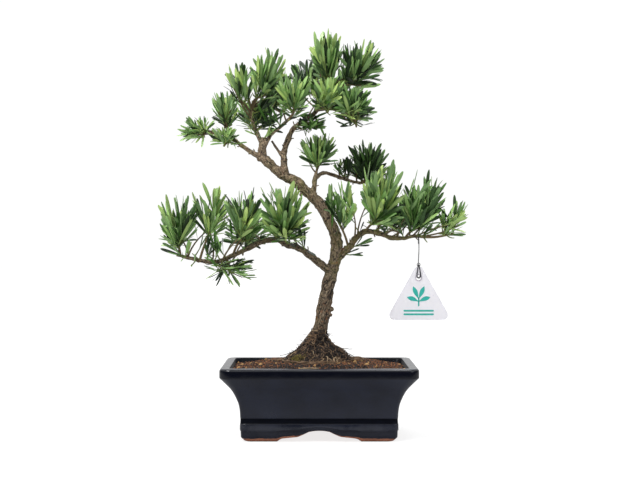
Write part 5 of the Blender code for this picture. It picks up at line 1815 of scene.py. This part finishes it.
def make_wire(sweep):
    """The wire's eye, its twisted neck and shank, and the clip that holds the tag."""
    eye = eye_centre()
    foot = eye - UP * EYE_RADIUS

    def run(steps, rule):
        return [rule(i / steps) for i in range(steps + 1)]

    def eye_point(t):
        turn = math.tau * t * 0.985
        return eye + Vector((0, math.sin(turn), -math.cos(turn))) * EYE_RADIUS

    def wrap_point(t):
        turn = math.tau * 3 * t
        return foot + Vector((math.cos(turn) * 0.0009, math.sin(turn) * 0.0009, -0.0004 - 0.0052 * t))

    def shank_point(t):
        z = foot.z + (CLIP_TOP + 0.0012 - foot.z) * t
        return Vector((eye.x + 0.0004 * math.sin(math.pi * t * 1.4), eye.y, z))

    def loop_point(t):
        turn = math.tau * t
        return Vector((eye.x + 0.0018 * math.sin(turn), eye.y, CLIP_TOP + 0.0002 + 0.0019 * math.cos(turn)))

    paths = []
    for steps, rule, share in ((40, eye_point, 1), (48, wrap_point, 0.55), (18, shank_point, 0.86),
                               (32, loop_point, 0.7)):
        paths.append((run(steps, rule), [WIRE_RADIUS * share] * (steps + 1)))
    gap = TAG_HALF_THICK + 0.0008 + 0.0005
    strand = ((0, 0.0004, CLIP_TOP + 0.0006), (0.0006, gap * 0.9, CLIP_TOP - 0.0010),
              (0.0013, gap, CLIP_TOP - 0.0055), (0.0023, gap, TAG_HOLE_Z + 0.0040),
              (0.0016, gap, TAG_HOLE_Z + 0.0006), (0, gap, TAG_HOLE_Z - 0.0006))
    for side in (-1, 1):
        for splay in (-1, 1):
            leg = smooth_route([(eye.x + splay * x, eye.y + side * y, z) for x, y, z in strand], 0.0006)
            count = len(leg)
            paths.append((leg, [0.0005 + 0.0003 * min(1.0, 1.4 * i / count) for i in range(count)]))
    pin = [Vector((eye.x, eye.y + y, TAG_HOLE_Z)) for y in np.linspace(-gap - 0.0006, gap + 0.0006, 9)]
    paths.append((pin, [0.0010] * 9))
    metal = mottled("dark_wire", (0.003, 0.0004, colour(92, 92, 96), 0.4, 0.3, 0.38, 0.25),
                    (0.0002, 0.4), (("Metallic", 0.9),))
    finish_piece("tag_wire_bent", swept_mesh("tag_wire_bent", paths, sweep, 12, metal),
                 "wire", "wire", "tag_wire")


def triangle_outline(x, steps=10):
    """A triangle with round corners, apex up."""
    corners = [Vector((x, TAG_TOP_Z)), Vector((x - TAG_HALF_WIDTH, TAG_BOTTOM_Z)),
               Vector((x + TAG_HALF_WIDTH, TAG_BOTTOM_Z))]
    outline = []
    for i, here in enumerate(corners):
        before = (corners[i - 1] - here).normalized()
        after = (corners[(i + 1) % 3] - here).normalized()
        half_angle = before.angle(after) / 2
        centre = here + (before + after).normalized() * TAG_CORNER / math.sin(half_angle)
        start = here + before * TAG_CORNER / math.tan(half_angle) - centre
        sweep_angle = math.pi - 2 * half_angle
        for step in range(steps + 1):
            cosine, sine = (rule(sweep_angle * step / steps) for rule in (math.cos, math.sin))
            outline.append((centre.x + start.x * cosine - start.y * sine,
                            centre.y + start.x * sine + start.y * cosine))
    return outline


def plate_between(name, outer, inner, half_thick, y, bevel):
    """A flat closed band between two outlines of equal count, with eased edges."""
    count = len(outer)
    levels = [(y - half_thick, bevel), (y - half_thick + bevel, 0.0), (y + half_thick - bevel, 0.0),
              (y + half_thick, bevel)]
    verts = []
    for outline, side in ((outer, 1), (inner, -1)):
        middle = Vector((sum(p[0] for p in outline) / count, sum(p[1] for p in outline) / count))
        for level, pull in levels[::side]:
            for p in outline:
                away = (Vector(p) - middle).normalized() * pull * side
                verts.append((p[0] - away.x, level, p[1] - away.y))
    sides = lofted(2 * len(levels) + 1, count)[1]
    mesh = mesh_from(name, verts, [tuple(i % len(verts) for i in face) for face in sides])
    facing_out(mesh)
    mesh.transform(Matrix.Translation(SHIFT))
    smooth_shaded(mesh, 35)
    return mesh


def ring_outline(x, z, radius, like):
    """A circle with its points opposite those of an outline."""
    ring = []
    for px, pz in like:
        turn = math.atan2(pz - z, px - x)
        ring.append((x + radius * math.cos(turn), z + radius * math.sin(turn)))
    return ring


def make_tag():
    """The frosted plate with its hole, a raised eyelet, and a plain sprout on its face."""
    x, y, _ = eye_centre()
    corners = triangle_outline(x)
    outer = [p for a, b in zip(corners, corners[1:] + corners[:1]) for p in split_line(a, b, 12)]
    inner = ring_outline(x, TAG_HOLE_Z, TAG_HOLE_RADIUS, outer)
    plate = plate_between("tag_plate", outer, inner, TAG_HALF_THICK, y, 0.00018)
    # The plate's glow is painted light that brightens it.
    plate.materials.append(tag_material("frosted_tag", colour(242, 241, 245), 0.60, 0.085))
    plate.materials.append(tag_material("cut_edge", colour(196, 196, 208), 0.15, 0.0))
    for i, face in enumerate(plate.polygons):
        face.material_index = int(i // len(outer) not in (3, 7))
    finish_piece("tag_plate", plate, "tag", "tag_plastic", "tag")
    wide, narrow = EYELET_RADII
    circle = [(x + math.cos(a) * wide, TAG_HOLE_Z + math.sin(a) * wide) for a in
              np.linspace(0, math.tau, 64, endpoint=False)]
    eyelet = plate_between("tag_eyelet", circle, ring_outline(x, TAG_HOLE_Z, narrow, circle),
                           TAG_HALF_THICK + 0.0002, y, 0.00012)
    eyelet.materials.append(tag_material("moulded_eyelet", colour(212, 207, 216), 0.30, 0.0))
    finish_piece("tag_eyelet", eyelet, "tag", "tag_plastic")
    bm = bmesh.new()
    front = y - TAG_HALF_THICK
    for outline in sprout_outlines(x):
        raised_shape(bm, outline, front - 0.00012, front + 0.0001)
    mark = bpy.data.meshes.new("tag_sprout_mark")
    bmesh.ops.recalc_face_normals(bm, faces=bm.faces)
    bm.to_mesh(mark)
    bm.free()
    mark.transform(Matrix.Translation(SHIFT))
    mark.materials.append(mottled(
        "teal_rule", (0.004, 0.0006, colour(38, 166, 154), 0.08, 0.08, 0.45, 0.1)))
    finish_piece("tag_sprout_mark", mark, "tag", "tag_plastic")


# The sprout's leaves: lean, root's rise, length, width and droop; then the bars: height
# and half sizes.
SPROUT_FOOT = 0.1640
SPROUT_LEAVES = ((-62, 0.0030, 0.0165, 0.0056, -0.0022), (62, 0.0030, 0.0165, 0.0056, -0.0022),
                 (-24, 0.0062, 0.0175, 0.0054, 0), (24, 0.0062, 0.0175, 0.0054, 0))
SPROUT_BARS = ((0.1665, 0.0009, 0.0055), (0.1555, 0.0190, 0.0011), (0.1510, 0.0190, 0.0011))


def sprout_outlines(x):
    """A plain sprout of two pairs of leaves over two ruled lines, as outlines."""
    outlines = []
    foot = Vector((x, SPROUT_FOOT))
    for lean, rise, length, width, droop in SPROUT_LEAVES:
        ahead = Vector((math.sin(math.radians(lean)), math.cos(math.radians(lean))))
        side = Vector((ahead.y, -ahead.x))
        root = foot + Vector((0, rise))
        left, right = [], []
        for i in range(13):
            t = i / 12
            spine = root + ahead * length * t + Vector((0, droop)) * t * t
            half = width / 2 * (0.10 + 0.90 * math.sin(math.pi * min(1.0, t * 1.02) ** 1.35))
            half *= 1.0 if t < 1 else 0.2
            left.append(tuple(spine - side * half))
            right.append(tuple(spine + side * half))
        outlines.append(left + right[::-1])
    return outlines + [bar_outline(x, *bar) for bar in SPROUT_BARS]


def bar_outline(x, z, half_x, half_z):
    """A bar with round ends."""
    outline = []
    round_off = min(half_x, half_z)
    for number, (sign_x, sign_z) in enumerate(QUARTERS):
        for i in range(5):
            turn = math.radians(90 * number + 22.5 * i)
            outline.append((x + sign_x * (half_x - round_off) + round_off * math.cos(turn),
                            z + sign_z * (half_z - round_off) + round_off * math.sin(turn)))
    return outline


def raised_shape(bm, outline, y_front, y_back):
    """A thin closed slab over an outline."""
    front = [bm.verts.new((px, y_front, pz)) for px, pz in outline]
    back = [bm.verts.new((px, y_back, pz)) for px, pz in outline]
    bm.faces.new(front)
    bm.faces.new(back[::-1])
    for i in range(len(outline)):
        n = (i + 1) % len(outline)
        bm.faces.new((front[i], back[i], back[n], front[n]))


def split_line(a, b, count):
    """Points from one point up to the next, closer where the stretch is long."""
    steps = max(1, min(count, int(math.hypot(b[0] - a[0], b[1] - a[1]) / 0.004)))
    return [(a[0] + (b[0] - a[0]) * i / steps, a[1] + (b[1] - a[1]) * i / steps) for i in range(steps)]


# ---- studio ----

CAMERA_PLACE = (0.0, -1.685, 0.246)
LENS = 77.45
SENSOR_WIDTH = 36
LAMP_AIM = Vector((0, 0, 0.25))
SKY_LIGHT = 1.15
BACK_LIGHT = 0.68
# Each lamp: its name, place, size and power.
LAMPS = (
    ("key_light", (-0.8, -1.0, 1.6), 0.7, 26.0),
    ("top_light", (0.30, 0.20, 1.9), 0.9, 16.0),
    ("fill_light", (1.2, -1.1, 0.8), 0.8, 3.0),
)


def pale_floor():
    """A white floor that glossy things mirror only faintly."""
    material, nodes, shader, where = start_material("pale_floor")
    mirrored = nodes.out("ShaderNodeLightPath", None, "Is Glossy Ray")
    ahead = nodes.times(nodes.out("ShaderNodeSeparateXYZ", {0: where}, "Y"), -1.0)
    near = nodes.blend(nodes.step(ahead, 0.35, 0.75), 0.31, 0.015)
    soft = nodes.times(nodes.noise(where, 2.0, 2.0), 0.02)
    level = nodes.plus(nodes.blend(mirrored, 0.24, near), soft)
    tone = nodes.out("ShaderNodeCombineColor", {0: level, 1: level, 2: level})
    nodes.feed(shader.inputs["Base Color"], tone)
    shader.inputs["Roughness"].default_value = 0.9
    shader.inputs["Specular IOR Level"].default_value = 0.0
    shader.inputs["Emission Color"].default_value = (1, 1, 1, 1)
    away = nodes.out("ShaderNodeVectorMath", {0: where}, "Value", operation="LENGTH")
    glow = nodes.blend(nodes.step(away, 0.5, 3.0), 0.78, 0.95)
    nodes.feed(shader.inputs["Emission Strength"], nodes.blend(mirrored, glow, 0.0))
    return material


def make_studio():
    scene = bpy.context.scene
    scene.view_settings.view_transform = "Standard"
    scene.view_settings.look = "None"
    data = bpy.data.cameras.new("front_camera")
    data.lens = LENS
    data.sensor_width = SENSOR_WIDTH
    scene.camera = scene_object("front_camera", data)
    scene.camera.location = Vector(CAMERA_PLACE) + SHIFT
    scene.camera.rotation_euler = (math.pi / 2, 0, 0)
    corners = [(-9, -9, 0), (9, -9, 0), (9, 9, 0), (-9, 9, 0)]
    floor = scene_object("floor", mesh_from("floor", corners, [(0, 1, 2, 3)]))
    floor.data.materials.append(pale_floor())
    make_world(scene)
    for name, place, size, power in LAMPS:
        data = bpy.data.lights.new(name, "AREA")
        data.shape = "DISK"
        data.size = size
        data.energy = power
        lamp = scene_object(name, data)
        lamp.location = place
        lamp.rotation_euler = (LAMP_AIM - Vector(place)).to_track_quat("-Z", "Y").to_euler()


def make_world(scene):
    """White to the eye and behind the pot, with a dim room in front and a bright sky."""
    world = bpy.data.worlds.new("studio")
    world.use_nodes = True
    scene.world = world
    nodes = Nodes(world.node_tree)
    path = nodes.add("ShaderNodeLightPath").outputs
    seen = nodes.math("MAXIMUM", path["Is Camera Ray"], path["Is Transmission Ray"])
    way = nodes.out("ShaderNodeTexCoord", None, "Generated")
    parts = nodes.add("ShaderNodeSeparateXYZ", {0: way}).outputs
    sky = nodes.blend(nodes.step(parts["Z"], 0.15, 0.80), 0.06, SKY_LIGHT)
    behind = nodes.times(nodes.step(parts["Y"], 0.25, 0.75), BACK_LIGHT)
    light = nodes.blend(seen, nodes.math("MAXIMUM", sky, behind), 1.02)
    back = nodes.out("ShaderNodeBackground", {"Color": (1, 1, 1, 1), "Strength": light})
    nodes.add("ShaderNodeOutputWorld", {"Surface": back})


def main():
    make_studio()
    limbs = all_limbs()
    sweep = twig_tree()
    make_pot()
    make_ground_cover(sweep)
    make_bark(limbs)
    make_foliage(limbs, sweep)
    make_wire(sweep)
    make_tag()


main()
